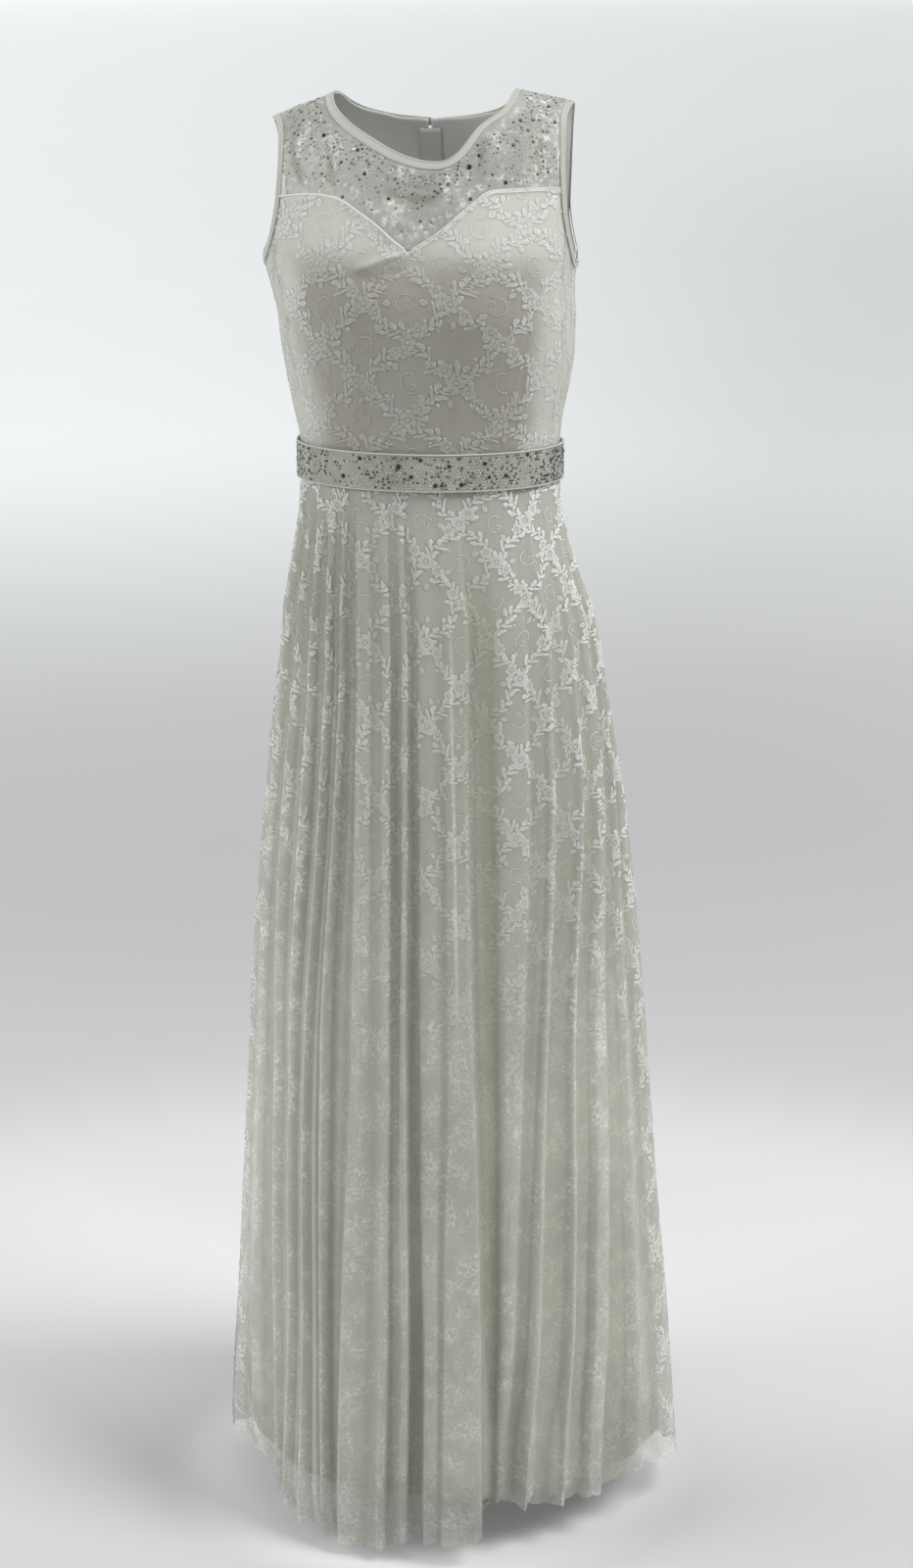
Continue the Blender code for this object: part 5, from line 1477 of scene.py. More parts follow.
# stones that stand out on the yoke: place, radius in mm and tone (0 black, 1 clear)
YOKE_STONES = (
    ("x", "z", "radius", "tone"),
    (-0.0971, 1.4432, 2.3, 0.0), (-0.0607, 1.4308, 2.1, 0.1), (-0.0759, 1.4187, 1.6, 0.0), (-0.0519, 1.4092, 2.1, 0.0),
    (-0.0735, 1.3869, 1.9, 0.1), (-0.0271, 1.3866, 1.6, 0.0), (0.0491, 1.4161, 2.8, 0.0), (0.0578, 1.4269, 1.9, 0.0),
    (0.0839, 1.4011, 2.1, 0.0), (0.0895, 1.4356, 1.9, 0.0), (0.1079, 1.4383, 1.8, 0.0), (0.1063, 1.4585, 2.1, 0.1),
    (0.1020, 1.4486, 1.7, 0.0), (0.0947, 1.4579, 2.0, 0.0), (0.1199, 1.4700, 1.9, 0.1), (0.1269, 1.4559, 2.0, 0.0),
    (-0.1247, 1.4632, 1.6, 0.1), (-0.1212, 1.4560, 1.5, 0.1), (-0.1294, 1.4436, 1.8, 0.2), (-0.0918, 1.4231, 1.4, 0.1),
    (-0.0379, 1.4147, 1.9, 0.3), (0.0301, 1.4003, 2.1, 0.2), (0.0516, 1.3863, 1.9, 0.05),
    (-0.1108, 1.4708, 1.3, 0.2), (-0.1169, 1.4717, 1.2, 0.1), (-0.1083, 1.4626, 1.4, 0.1), (-0.0977, 1.4552, 1.4, 0.1),
    (-0.0847, 1.4470, 1.7, 0.3), (-0.0817, 1.4372, 1.2, 0.2), (-0.0781, 1.4309, 1.2, 0.2), (-0.0508, 1.4276, 1.1, 0.2),
    (-0.0506, 1.4212, 1.5, 0.2), (-0.0349, 1.4198, 1.5, 0.3), (-0.0632, 1.4176, 1.5, 0.25), (-0.0679, 1.4136, 1.2, 0.2),
    (-0.0195, 1.3780, 1.2, 0.2), (-0.0791, 1.4015, 1.4, 0.2), (0.0017, 1.3905, 1.2, 0.3), (-0.0125, 1.3888, 1.1, 0.2),
    (0.0166, 1.3890, 1.2, 0.1), (-0.0019, 1.4060, 1.5, 0.35), (0.0068, 1.4041, 1.5, 0.35), (0.0143, 1.4036, 1.5, 0.35),
    (-0.0100, 1.4128, 1.2, 0.3), (-0.0210, 1.4146, 1.2, 0.3), (0.0616, 1.4389, 1.1, 0.1), (0.0591, 1.4185, 1.2, 0.1),
    (0.0427, 1.4089, 1.2, 0.25), (0.0501, 1.4044, 1.4, 0.2), (0.0800, 1.4454, 1.5, 0.15), (0.0882, 1.4565, 1.5, 0.1),
    (0.1265, 1.4734, 1.3, 0.1), (0.0713, 1.4087, 1.3, 0.05), (0.1062, 1.4119, 1.1, 0.3), (0.0963, 1.4026, 1.1, 0.3),
    (0.0760, 1.4162, 1.0, 0.3), (-0.1059, 1.4326, 1.1, 0.2), (-0.1181, 1.4282, 1.1, 0.3), (-0.1130, 1.4202, 1.1, 0.1),
    (-0.0168, 1.3971, 1.2, 0.3), (-0.0376, 1.3925, 1.2, 0.2), (-0.0345, 1.3988, 1.2, 0.25), (-0.0288, 1.4046, 1.2, 0.25),
    (-0.0431, 1.3760, 1.1, 0.2), (-0.0599, 1.4070, 1.1, 0.2), (-0.0666, 1.3988, 1.1, 0.2),
    (-0.1141, 1.4536, 1.7, 1.0), (-0.1208, 1.4385, 1.6, 1.0), (-0.0647, 1.4314, 1.8, 1.0),
)


def yoke_stones():
    """The stones of the table, and small ones scattered ever more thinly down from the neckline."""
    rng = np.random.default_rng(11)
    rows = [list(row) for row in YOKE_STONES[1:]]
    turns, ws, across = yoke_grid(9, 80)
    base = torso(turns, ws)
    flat_x, flat_z = base[..., 0].ravel(), base[..., 2].ravel()
    flat_a = across.ravel()
    order = rng.permutation(len(flat_x))
    taken = [(row[0], row[1], row[2]) for row in rows]
    want = {"tiny": 460, "small": 260}
    for size, low, high in (("small", 0.95, 1.35), ("tiny", 0.6, 0.9)):
        left = want[size]
        for i in order:
            if not left:
                break
            a = flat_a[i]
            if a < 0.17 or a > 0.93:
                continue
            x, z = flat_x[i] + rng.uniform(-0.8, 0.8) * MM, flat_z[i] + rng.uniform(-0.8, 0.8) * MM
            edge_near = abs(x) > 0.088
            chance = math.exp(-((a - 0.16) / (0.30 if not edge_near else 0.55)) * 1.6)
            if rng.random() > chance * (0.9 if size == "tiny" else 0.7):
                continue
            r = rng.uniform(low, high)
            if any((x - tx) ** 2 + (z - tz) ** 2 < ((r + tr + 0.35) * MM) ** 2 for tx, tz, tr in taken):
                continue
            tone = rng.choice([0.12, 0.3, 0.5, 0.7, 1.0], p=[0.24, 0.32, 0.24, 0.14, 0.06])
            rows.append([x, z, r * (1.2 if tone < 0.2 else 1.0), tone])
            taken.append((x, z, r))
            left -= 1
    rows = np.array(rows)
    x, z = rows[:, 0], rows[:, 1]
    turn, w = turn_of(x, z), over_of(x, z)
    centres = raised(turn, w, yoke_lift(x, z) + 0.05 * MM)
    normals = frame_of(torso, turn, w)[2]
    made = gems("yoke_stones", centres, normals, rows[:, 2] * MM, rows[:, 3], STONES)
    return made


# stones that stand out on the belt: angle round it in degrees, height, radius in mm
BELT_STONES = (
    ("turn", "z", "radius"),
    (-7.6, 1.1257, 2.7), (1.8, 1.1329, 2.3), (13.9, 1.1270, 2.3), (29.5, 1.1289, 2.3), (51.4, 1.1347, 2.3), (39.6, 1.1154, 2.1),
    (8.0, 1.1076, 2.4), (10.6, 1.1078, 1.7), (19.1, 1.1084, 2.3), (-2.2, 1.1159, 2.2), (-33.8, 1.1128, 2.5), (-25.2, 1.1319, 2.2),
    (31.5, 1.1148, 1.8), (84.9, 1.1322, 1.8), (12.2, 1.1081, 1.5), (4.1, 1.1298, 1.2), (10.4, 1.1214, 1.2), (3.9, 1.1144, 1.2),
    (13.8, 1.1158, 1.2), (22.0, 1.1204, 1.2), (24.5, 1.1155, 1.2), (18.3, 1.1330, 1.1), (7.9, 1.1338, 1.2), (11.0, 1.1332, 1.1),
    (-9.9, 1.1336, 1.3), (-6.2, 1.1333, 1.2), (-8.0, 1.1107, 1.0), (35.0, 1.1341, 1.2), (32.6, 1.1269, 1.2), (37.9, 1.1241, 1.3),
    (46.3, 1.1259, 1.4), (46.2, 1.1107, 1.3), (53.0, 1.1227, 1.4), (53.1, 1.1161, 1.3), (71.8, 1.1263, 1.5), (33.9, 1.1082, 1.3),
    (20.7, 1.1093, 1.6), (-46.7, 1.1347, 1.4), (-45.3, 1.1152, 1.6), (-66.3, 1.1115, 1.6),
)
BELT_HALF, BELT_FRONT, BELT_BACK = 0.1343 + BELT_WALL, 0.1038 + BELT_WALL, 0.0972 + BELT_WALL


def belt_point(turn, z, lift=0.0):
    c = np.cos(turn)
    depth = np.where(c >= 0, BELT_FRONT, BELT_BACK)
    n = np.stack([np.sin(turn) / BELT_HALF, -c / depth, np.zeros_like(c)], -1)
    n /= np.linalg.norm(n, axis=-1, keepdims=True)
    p = np.stack(np.broadcast_arrays(BELT_HALF * np.sin(turn), -depth * c, z), -1)
    return p + n * np.asarray(lift)[..., None], n


def belt():
    """A closed band open only at the zip, piped along its top, with a fine line along its foot."""
    turn = np.linspace(-math.pi + 0.012, math.pi - 0.012, 361)
    low, high = BELT_BOTTOM, BELT_TOP
    soft = 0.25 * MM * np.sin(turn * 9) + 0.2 * MM * np.sin(turn * 23 + 1)
    rows = (
        (low + 0.0004, -1.4), (low, -0.4), (low + 0.0006, 0.4), (low + 0.0016, 0.5), (low + 0.0024, 0.0), (low + 0.0120, 0.25),
        (low + 0.0190, 0.35), (low + 0.0280, 0.25), (high - 0.0034, 0.0), (high - 0.0004, 0.0), (high, -0.6), (high - 0.0004, -1.4),
    )
    points = np.stack([belt_point(turn, np.full(turn.shape, z), (lift * MM + soft * (0.0 if lift < 0 else 1.0)))[0] for z, lift in rows], 1)
    cols = points.shape[1]
    faces = quads(len(turn), cols, around=True)
    p = points.reshape(-1, 3)
    n = np.cross(p[faces[:, 1]] - p[faces[:, 0]], p[faces[:, 3]] - p[faces[:, 0]])
    middle = np.repeat(points.mean(1)[:, None], cols, 1).reshape(-1, 3)
    if (n * (p[faces].mean(1) - middle[faces[:, 0]])).sum() < 0:
        faces = faces[:, ::-1]
    ends = np.array([[0, 1, 10, 11], [1, 2, 9, 10], [2, 3, 8, 9], [3, 4, 7, 8], [4, 5, 6, 7]])
    faces = np.concatenate([faces, ends, (ends + (len(turn) - 1) * cols)[:, ::-1]])
    along = np.concatenate([[0], np.cumsum(np.linalg.norm(np.diff(points[:, 5], axis=0), axis=1))]) / MM
    u = np.repeat(along[:, None], cols, 1)
    v = (high - points[..., 2]) / MM
    made = mesh_of("belt_band", points, faces, BELT, layers=(("OFBake", unit(*points.shape[:2])), ("cloth", np.stack([u, v], -1) / 1000)))
    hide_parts("belt")

    pipes = []
    for name, z, radius, lift in (("belt_piping_top", high - 0.0009, 0.85, 0.15), ("belt_piping_foot", low + 0.0006, 0.5, 0.2)):
        round_ = np.linspace(0, 2 * math.pi, 10, endpoint=False)
        centre, n = belt_point(turn, np.full(turn.shape, z), np.full(turn.shape, lift * MM) + soft)
        pipe = centre[:, None] + radius * MM * (np.cos(round_)[None, :, None] * n[:, None] + np.sin(round_)[None, :, None] * np.array([0, 0, 1.0]))
        faces = quads(len(turn), 10, around=True)
        p = pipe.reshape(-1, 3)
        nn = np.cross(p[faces[:, 1]] - p[faces[:, 0]], p[faces[:, 3]] - p[faces[:, 0]])
        if (nn * (p[faces].mean(1) - np.repeat(centre[:, None], 10, 1).reshape(-1, 3)[faces[:, 0]])).sum() < 0:
            faces = faces[:, ::-1]
        caps = np.array([[0, 1, 2, 3], [0, 3, 4, 5], [0, 5, 6, 7], [0, 7, 8, 9]])
        faces = np.concatenate([faces, caps, (caps + (len(turn) - 1) * 10)[:, ::-1]])
        uv = np.stack([np.repeat(along[:, None], 10, 1), np.repeat(round_[None] * radius, len(turn), 0)], -1) / 1000
        obj = mesh_of(name, pipe, faces, PIPING, layers=(("OFBake", unit(len(turn), 10)), ("cloth", uv)))
        pipes.append(obj)

    rng = np.random.default_rng(5)
    rows = [[math.radians(a), z, r, 0.0 if r > 1.65 else 0.12] for a, z, r in BELT_STONES[1:]]
    # behind, where the photograph doesn't reach, like stones at like distances
    angle = 96.0
    while angle < 265.0:
        if abs(angle - 180.0) > 4:
            rows.append([math.radians(angle), rng.uniform(BELT_BOTTOM + 0.006, BELT_TOP - 0.007), rng.uniform(2.0, 2.5), 0.0])
        angle += rng.uniform(9.0, 15.0)
    for a in (-84.0, -76.5, -58.0):
        rows.append([math.radians(a), rng.uniform(BELT_BOTTOM + 0.006, BELT_TOP - 0.007), 1.8, 0.0])
    taken = [(row[0] * 0.125, row[1], row[2]) for row in rows]
    lines, pitch = 11, 3.2 * MM
    for line in range(lines):
        z0 = BELT_BOTTOM + 0.0036 + line * (BELT_TOP - BELT_BOTTOM - 0.0076) / (lines - 1)
        a = -math.pi + 0.03 + (line % 2) * pitch / 0.25
        while a < math.pi - 0.03:
            x, z = a + rng.uniform(-0.5, 0.5) * MM / 0.12, z0 + rng.uniform(-0.4, 0.4) * MM
            end = abs(abs(math.degrees(a)) - 90) < 34
            r = rng.uniform(0.75, 1.05) + (0.15 if end else 0.0)
            a += pitch / 0.12
            if any(abs(x * 0.125 - tx) < 4 * MM and (x * 0.125 - tx) ** 2 + (z - tz) ** 2 < ((r + tr + 0.15) * MM) ** 2 for tx, tz, tr in taken):
                continue
            p = [0.26, 0.14, 0.10, 0.24, 0.26] if end else [0.15, 0.08, 0.10, 0.40, 0.27]
            tone = rng.choice([0.03, 0.15, 0.45, 0.68, 0.90], p=p)
            rows.append([x, z, r * (1.25 if tone < 0.1 else 1.1 if tone < 0.3 else 0.85), tone])
    rows = np.array(rows)
    centres, normals = belt_point(rows[:, 0], rows[:, 1], np.full(len(rows), 0.32 * MM))
    stones = gems("belt_stones", centres, normals, rows[:, 2] * MM, rows[:, 3], STONES, high=0.5)
    return made, pipes, stones


# ---------------------------------------------------------------- skirt
SHARP_CRESTS = (10, 14, 16, 21, 25, 27, 31)  # folds whose edge turns in sharply


def fold_fine(s, z):
    """As fold_at, with rounded crests, tight hollows and some sharp edges; also the share of the
    way into a hollow."""
    s, z = np.broadcast_arrays(np.asarray(s, float), np.asarray(z, float))
    turn, _ = fold_at(s, z)
    levels = np.array(FOLD_LEVELS)[::-1]
    i = np.clip(np.floor(np.clip(s, 0, LAST)).astype(int), 0, LAST - 1)
    t = np.clip(s, 0, LAST) - i
    mix = np.clip(np.clip((z - levels[0]) / (levels[-1] - levels[0]), 0, 1) * 1.6, 0, 1)
    da = DEPTHS[i, 1] * (1 - mix) + DEPTHS[i, 0] * mix
    db = DEPTHS[i + 1, 1] * (1 - mix) + DEPTHS[i + 1, 0] * mix
    out = db >= da  # from a crest at i into a hollow
    away = np.where(out, t, 1 - t)  # from the crest
    crest = np.where(out, i, i + 1)
    sharp = np.isin(crest, SHARP_CRESTS)
    soft = 0.75 * Plain.ramp(away, 0.30, 0.80) + 0.25 * away
    keen = 0.85 * Plain.ramp(away, 0.0, 0.42) + 0.15 * away
    share = np.where(sharp, keen, soft)
    shallow, deep = np.minimum(da, db), np.maximum(da, db)
    return turn, shallow + (deep - shallow) * share, share * np.clip((deep - shallow) / (8 * MM), 0, 1)


def draped(s, z):
    """Point of the lace skirt, with its small unevenness; and its depth below the crests."""
    turn, depth, _ = fold_fine(s, z)
    grow = growth(z)
    start = Plain.ramp(z, 1.095, 0.99)
    # pleats pressed in from the seam down, on the wearer's right
    pressed = np.clip(np.minimum(s - 0.2, 17.5 - s) / 1.5, 0, 1)
    more = 1 + (0.35 + 0.55 * pressed) * Plain.ramp(z, 0.40, 0.80)
    # behind, no fold as deep as the next, nor as far from it
    behind = np.clip(np.minimum(s - FRONT_LAST, LAST - s) / 1.5, 0, 1)
    behind = behind * behind * (3 - 2 * behind)
    depth = depth * (1 + behind * (-0.10 + 0.28 * np.sin(s * 1.93 + 0.7) + 0.20 * np.sin(s * 3.71 + 2.1)))
    depth = depth * (1 - 0.28 * np.exp(-(((s - 17.0) / 0.8) ** 2)))
    d = depth * (grow * more + start * (0.05 + 0.22 * np.maximum(pressed, 0.5 * behind)))
    d = d + behind * grow * 2.5 * MM * (1 + np.sin(s * 1.13 + 0.4))
    fine = np.maximum(np.clip(np.minimum(s - 0.3, 12.5 - s), 0, 1), 0.55 * behind) * start
    d = d + fine * (0.50 + grow) * 1.3 * MM * (1 - np.cos(s * 2 * math.pi))
    free = np.clip((1.07 - z) / 0.25, 0, 1)
    ripple = 0.55 * np.sin(s * 5.3 + z * 3.0) + 0.45 * np.sin(s * 8.7 - z * 4.1 + 1.0)
    sway = 0.9 * np.sin(z * 8.3 + s * 0.9) + 0.7 * np.sin(z * 15.1 - s * 0.57 + 2.0)
    d = d + (ripple * 0.45 + sway * (0.25 + grow)) * MM * free
    # on the wearer's left the hem swings back
    swing = Plain.ramp(s, 20.8, 21.6) * Plain.ramp(s, 31.5, 29.5)
    d = d + 12 * MM * swing * Plain.ramp(z, 0.26, 0.05)
    room = (0.5 * fold_at(s, z)[1] + 17.0 * MM) * grow + 1.0 * MM  # the lining lies inside
    d = np.where(z > LINING_HEM - 0.01, np.minimum(d, np.maximum(room, 1.0 * MM)), d)
    d = np.maximum(d, -1.5 * MM) + 0.6 * depth * Plain.ramp(z, 0.060, 0.015)
    turn = turn + free * grow * 0.0035 * np.sin(z * 11.0 + s * 0.73) + behind * grow * 0.026 * np.sin(s * 2.6 + 1.0)
    c = np.cos(turn)
    x = section(SKIRT, "cx", z) + (section(SKIRT, "half", z) - d) * np.sin(turn)
    y = -(np.where(c >= 0, section(SKIRT, "front", z), section(SKIRT, "back", z)) - d) * c
    return np.stack([x, y, z], -1), d


def blurred(values, reach):
    """Rows of values averaged with their neighbours, reach columns to each side."""
    k = np.exp(-0.5 * (np.arange(-3 * reach, 3 * reach + 1) / reach) ** 2)
    k /= k.sum()
    padded = np.pad(values, ((0, 0), (3 * reach, 3 * reach)), mode="reflect")
    return np.stack([np.convolve(row, k, mode="valid") for row in padded])


def skirt():
    made = {}
    top = WAIST - 0.0003
    spans = (
        ("front", 0, FRONT_LAST, 408, 241, 17.0),
        ("back_left", FRONT_LAST, BACK_MIDDLE, 170, 285, BACK_MIDDLE),
        ("back_right", BACK_MIDDLE, LAST, 170, 285, BACK_MIDDLE),
    )
    for name, first, last, cols, rows, centre in spans:
        s = np.linspace(first + 0.006, last - 0.006, cols + 1)
        # the scallops of the hem are counted along the hem itself
        hem = hem_line(fold_at(s, 0.012)[0])
        flat, _ = draped(s, hem)
        round_ = np.concatenate([[0], np.cumsum(np.linalg.norm(np.diff(flat, axis=0), axis=1))]) / MM
        tip = (1 - np.abs(np.sin(math.pi * round_ / SCALLOP)) ** 0.7) * (2.6 + 1.2 * np.sin(round_ * 0.093) + 0.8 * np.sin(round_ * 0.041)) * MM
        hem = hem + tip
        share = np.linspace(0, 1, rows) ** (1.6 if name == "front" else 1.0)
        z = top + (hem - top)[None] * share[:, None]
        grid_s = np.repeat(s[None], rows, 0)
        points, inset = draped(grid_s, z)
        per = cols / (last - first)
        low = blurred(inset, max(2, int(round(per * 0.9))))
        tight = np.clip(np.minimum(grid_s - 0.2, 17.5 - grid_s) / 1.5, 0, 1)
        firm = 1 - tight * (1 - np.clip(growth(z) * 2.0, 0.22, 1.0))
        # where the cloth lies in a hollow: the finish paints shade there and fades the motifs
        painted_hollow_shade = Plain.ramp(inset - low, -0.6 * MM * firm, 2.6 * MM * firm)
        painted_hollow_shade = np.clip(painted_hollow_shade * Plain.ramp(z, 1.08 + 0.025 * tight, 0.96 + 0.09 * tight), 0, 1)
        # painted highlights along the crests of some sharp folds
        shine = np.zeros(grid_s.shape)
        for crest, strong, high, low_ in ((20, 1.0, 1.02, 0.50), (21, 0.3, 0.90, 0.40), (25, 0.7, 0.90, 0.05), (27, 0.5, 0.80, 0.05), (14, 0.35, 0.95, 0.30), (10, 0.3, 0.98, 0.30)):
            line = np.exp(-(((grid_s - crest + 0.08) / 0.13) ** 2))
            shine = np.maximum(shine, strong * line * Plain.ramp(z, high, high - 0.12) * Plain.ramp(z, low_ - 0.02, low_ + 0.15))
        # painted highlights: thin pale lines along the pressed pleats, and where a fold's edge turns in
        line = np.exp(-(((grid_s - np.round(grid_s) + 0.05) / 0.085) ** 2)) * (0.6 + 0.4 * np.sin(np.round(grid_s) * 2.7))
        shine = np.maximum(shine, 0.42 * tight * np.where(grid_s < 13, 1.0, 0.0) * line * Plain.ramp(z, 1.08, 0.95) * Plain.ramp(z, 0.05, 0.5))
        rim = np.exp(-(((inset - low - 0.8 * MM) / (1.1 * MM)) ** 2)) * Plain.ramp(z, 0.85, 0.45)
        shine = np.maximum(shine, 0.26 * rim)
        # painted highlight: the motifs brighter towards the sides, where the cloth turns away, and at the outline
        outline = Plain.ramp(np.abs(np.sin(fold_at(grid_s, z)[0])), 0.90, 0.985)
        keen = np.maximum(Plain.ramp(np.abs(np.sin(fold_at(grid_s, z)[0])), 0.40, 0.78) * Plain.ramp(z, 0.30, 0.75), 0.9 * outline)
        keen = np.maximum(keen, np.where(np.abs(grid_s - 20.0) < 0.5, shine, 0.0))
        uneven = wool(points, 9.0) + 0.5 * wool(points, 23.0)
        # painted light: the sides lighter low down
        sides = Plain.ramp(np.abs(np.sin(fold_at(grid_s, z)[0])), 0.25, 0.70) * Plain.ramp(z, 0.75, 0.45)
        facing = fold_at(grid_s, z)[0]
        # painted light and shade: the upper front lighter on the wearer's left and darker on the right, and darker down
        # the front
        shade = (1.9 * Plain.ramp(facing, 0.25, 1.0) - 1.0 * Plain.ramp(facing, -0.15, -0.7)) * Plain.ramp(z, 0.70, 0.95) * Plain.ramp(facing, 2.4, 1.8) * Plain.ramp(facing, -1.55, -1.2)
        shade -= 0.55 * Plain.ramp(np.abs(facing + 0.12), 0.75, 0.35) * Plain.ramp(z, 0.32, 0.48) * Plain.ramp(z, 1.02, 0.86)
        cloud = Plain.ramp(0.5 * wool(points, 68.0) + 0.35 * wool(points, 120.0, 5.0) + 0.2 * wool(points, 31.0, 9.0), -0.22, 0.25)
        aside = np.maximum(Plain.ramp(np.abs(np.sin(fold_at(grid_s, z)[0])), 0.955, 0.99) * Plain.ramp(z, 0.75, 0.50), 0)
        lower = Plain.ramp(z, 0.98 + 0.07 * Plain.ramp(grid_s, 16.0, 8.0), 0.42 + 0.15 * Plain.ramp(grid_s, 16.0, 8.0)) * (1 - 0.45 * Plain.ramp(grid_s, 14.0, 20.0) * Plain.ramp(z, 0.5, 0.8))
        lower = lower * (1 - 0.55 * outline)
        across = np.linalg.norm(np.diff(points, axis=1), axis=-1)
        u = np.concatenate([np.zeros((rows, 1)), np.cumsum(across, 1)], 1) / MM
        at = int(np.argmin(np.abs(s - centre)))
        u = u - u[:, at : at + 1] + (22.0 if name == "front" else 0.0)
        down = np.linalg.norm(np.diff(points, axis=0), axis=-1)
        v = np.concatenate([np.zeros((1, cols + 1)), np.cumsum(down, 0)], 0) / MM
        v = np.repeat(v.mean(1, keepdims=True), cols + 1, 1) * 0.6 + v * 0.4
        u, v = shaken(u, v + 30.0)
        rise = (z - hem[None]) / MM + tip[None] / MM
        n = grid_normals(points)
        n = n * np.sign((n[..., :2] * points[..., :2]).sum(-1, keepdims=True))
        # each normal turned outwards, and the threads raised along it
        points = points + n * (0.95 * MM * relief(u, v, SKIRT_TRELLIS) * (1 - 0.75 * lower))[..., None]
        # uneven holds random tone and painted light and shade: the sides and outline lighter low down, the upper skirt
        # lit on one side, the wearer's right lighter lower down, and the hem darker in front
        obj = sheet_of(
            f"skirt_lace_sheet_{name}", points, SKIRT_LACE, np.stack([u, v], -1),
            numbers=[("painted_hollow_shade", painted_hollow_shade), ("low", lower), ("cloud", cloud), ("shine", shine), ("keen", keen), ("uneven", uneven + 1.3 * sides + shade + 0.9 * outline * Plain.ramp(z, 0.85, 0.60) + 0.9 * Plain.ramp(facing, -0.2, -0.6) * Plain.ramp(facing, -1.57, -1.3) * Plain.ramp(z, 0.98, 0.72) - 1.5 * Plain.ramp(z, 0.16, 0.05) * Plain.ramp(np.abs(facing), 0.5, 0.2)), ("sheer", np.maximum(Plain.ramp(rise, 85.0, 40.0), 0.7 * aside)), ("rise", rise), ("round", np.repeat(round_[None], rows, 0))],
        )
        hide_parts(f"skirt_lace_{name}")
        made[f"lace_{name}"] = obj

        cols, rows = (cols // 2, 120)
        s = np.linspace(first + 0.006, last - 0.006, cols + 1)
        z = top + (LINING_HEM - top) * np.linspace(0, 1, rows)[:, None]
        z = np.repeat(z, cols + 1, 1)
        grid_s = np.repeat(s[None], rows, 0)
        points = lining_point(grid_s, z)
        u = np.concatenate([np.zeros((rows, 1)), np.cumsum(np.linalg.norm(np.diff(points, axis=1), axis=-1), 1)], 1) / MM
        obj = sheet_of(f"skirt_lining_sheet_{name}", points, SKIRT_LINING, np.stack([u, (top - z) / MM], -1))
        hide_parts(f"skirt_lining_{name}")
        made[f"lining_{name}"] = obj
    return made


# ---------------------------------------------------------------- zip
def zip_pieces():
    middle = float(section(TORSO, "cx", ARMPIT))
    neck_w = float(over_of(middle, min(row[1] for row in NECK_BACK[1:])))
    high = float(over_of(middle, ZIP_TOP))
    rows = []
    for v in np.linspace(1.0, 0.0, 70):
        w = float(back_row(np.array(neck_w), v))
        if w <= high:
            rows.append((torso(math.pi, w) - frame_of(torso, np.array(math.pi), np.array(w))[2] * 0.35 * MM, 0.3))
    levels = skirt_rows(np.array([math.pi]))[:ZIP_ROWS, 0]
    for z in np.linspace(levels[0] - 0.002, levels[-1], 30):
        rows.append((lining_point(float(BACK_MIDDLE), float(z)) - np.array([0.0, 1.0, 0.0]) * (1.5 * MM + LINING_WALL), 1.5))
    xs = np.linspace(-1, 1, 13)
    line = np.array([row[0] for row in rows])
    bow = np.array([row[1] for row in rows]) * MM
    outer = line[:, None] + np.stack([np.broadcast_to(xs * ZIP_HALF, (len(rows), 13)), -bow[:, None] * xs[None] ** 2, np.zeros((len(rows), 13))], -1)
    inner = outer - np.array([0, 0.5 * MM, 0])
    uv = np.stack([np.broadcast_to(xs * 11, (len(rows), 13)), np.broadcast_to((1.5 - line[:, 2:3]) / MM, (len(rows), 13))], -1)
    tape = shell_of("zip_tape_woven", outer, inner, TAPE, uv)
    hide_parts("zip_tape")
    # the coil: small teeth down the middle of the tape, on the outside
    length = np.concatenate([[0], np.cumsum(np.linalg.norm(np.diff(line, axis=0), axis=1))])
    places = np.arange(0.0005, length[-1], 1.6 * MM)
    centre = np.stack([np.interp(places, length, line[:, k]) for k in range(3)], -1)
    size = np.array([1.9, 0.45, 0.55]) * MM
    corners = np.array([(i, j, k) for i in (-1, 1) for j in (-1, 1) for k in (-1, 1)], float)
    shift = np.where(np.arange(len(places)) % 2, 0.5, -0.5)[:, None] * MM * np.array([[1.0, 0, 0]])
    verts = (centre + shift + np.array([0, 0.38 * MM, 0]))[:, None] + corners[None] * size * 0.5
    box = np.array([(0, 1, 3, 2), (4, 6, 7, 5), (0, 4, 5, 1), (2, 3, 7, 6), (0, 2, 6, 4), (1, 5, 7, 3)])
    faces = (box[None] + (np.arange(len(places)) * 8)[:, None, None]).reshape(-1, 4)
    uv = np.repeat(np.stack([np.linspace(0.02, 0.98, len(places)), np.full(len(places), 0.5)], -1)[:, None], 8, 1) + np.array([[0.0, -0.4 + 0.1 * c] for c in range(8)])[None]
    teeth = mesh_of("zip_teeth", verts.reshape(-1, 3), faces, TAPE, smooth=False, layers=(("OFBake", uv), ("cloth", uv * 0.01)))
    return tape, teeth


# ---------------------------------------------------------------- put together
lace_front, lining_front = bodice()
yoke_sheet = yoke()
back_sheets = backs()
bands = bindings()
heart = heart_edges()
shoulders = shoulder_seams()
stones = yoke_stones()
belt_band, belt_pipes, belt_gems = belt()
skirt_sheets = skirt()
tape, teeth = zip_pieces()

for node, finish in (("zip_slider", METAL), ("zip_pull", PULL_METAL)):
    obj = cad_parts[node]
    for place in range(len(obj.data.materials)):
        obj.data.materials[place] = finish


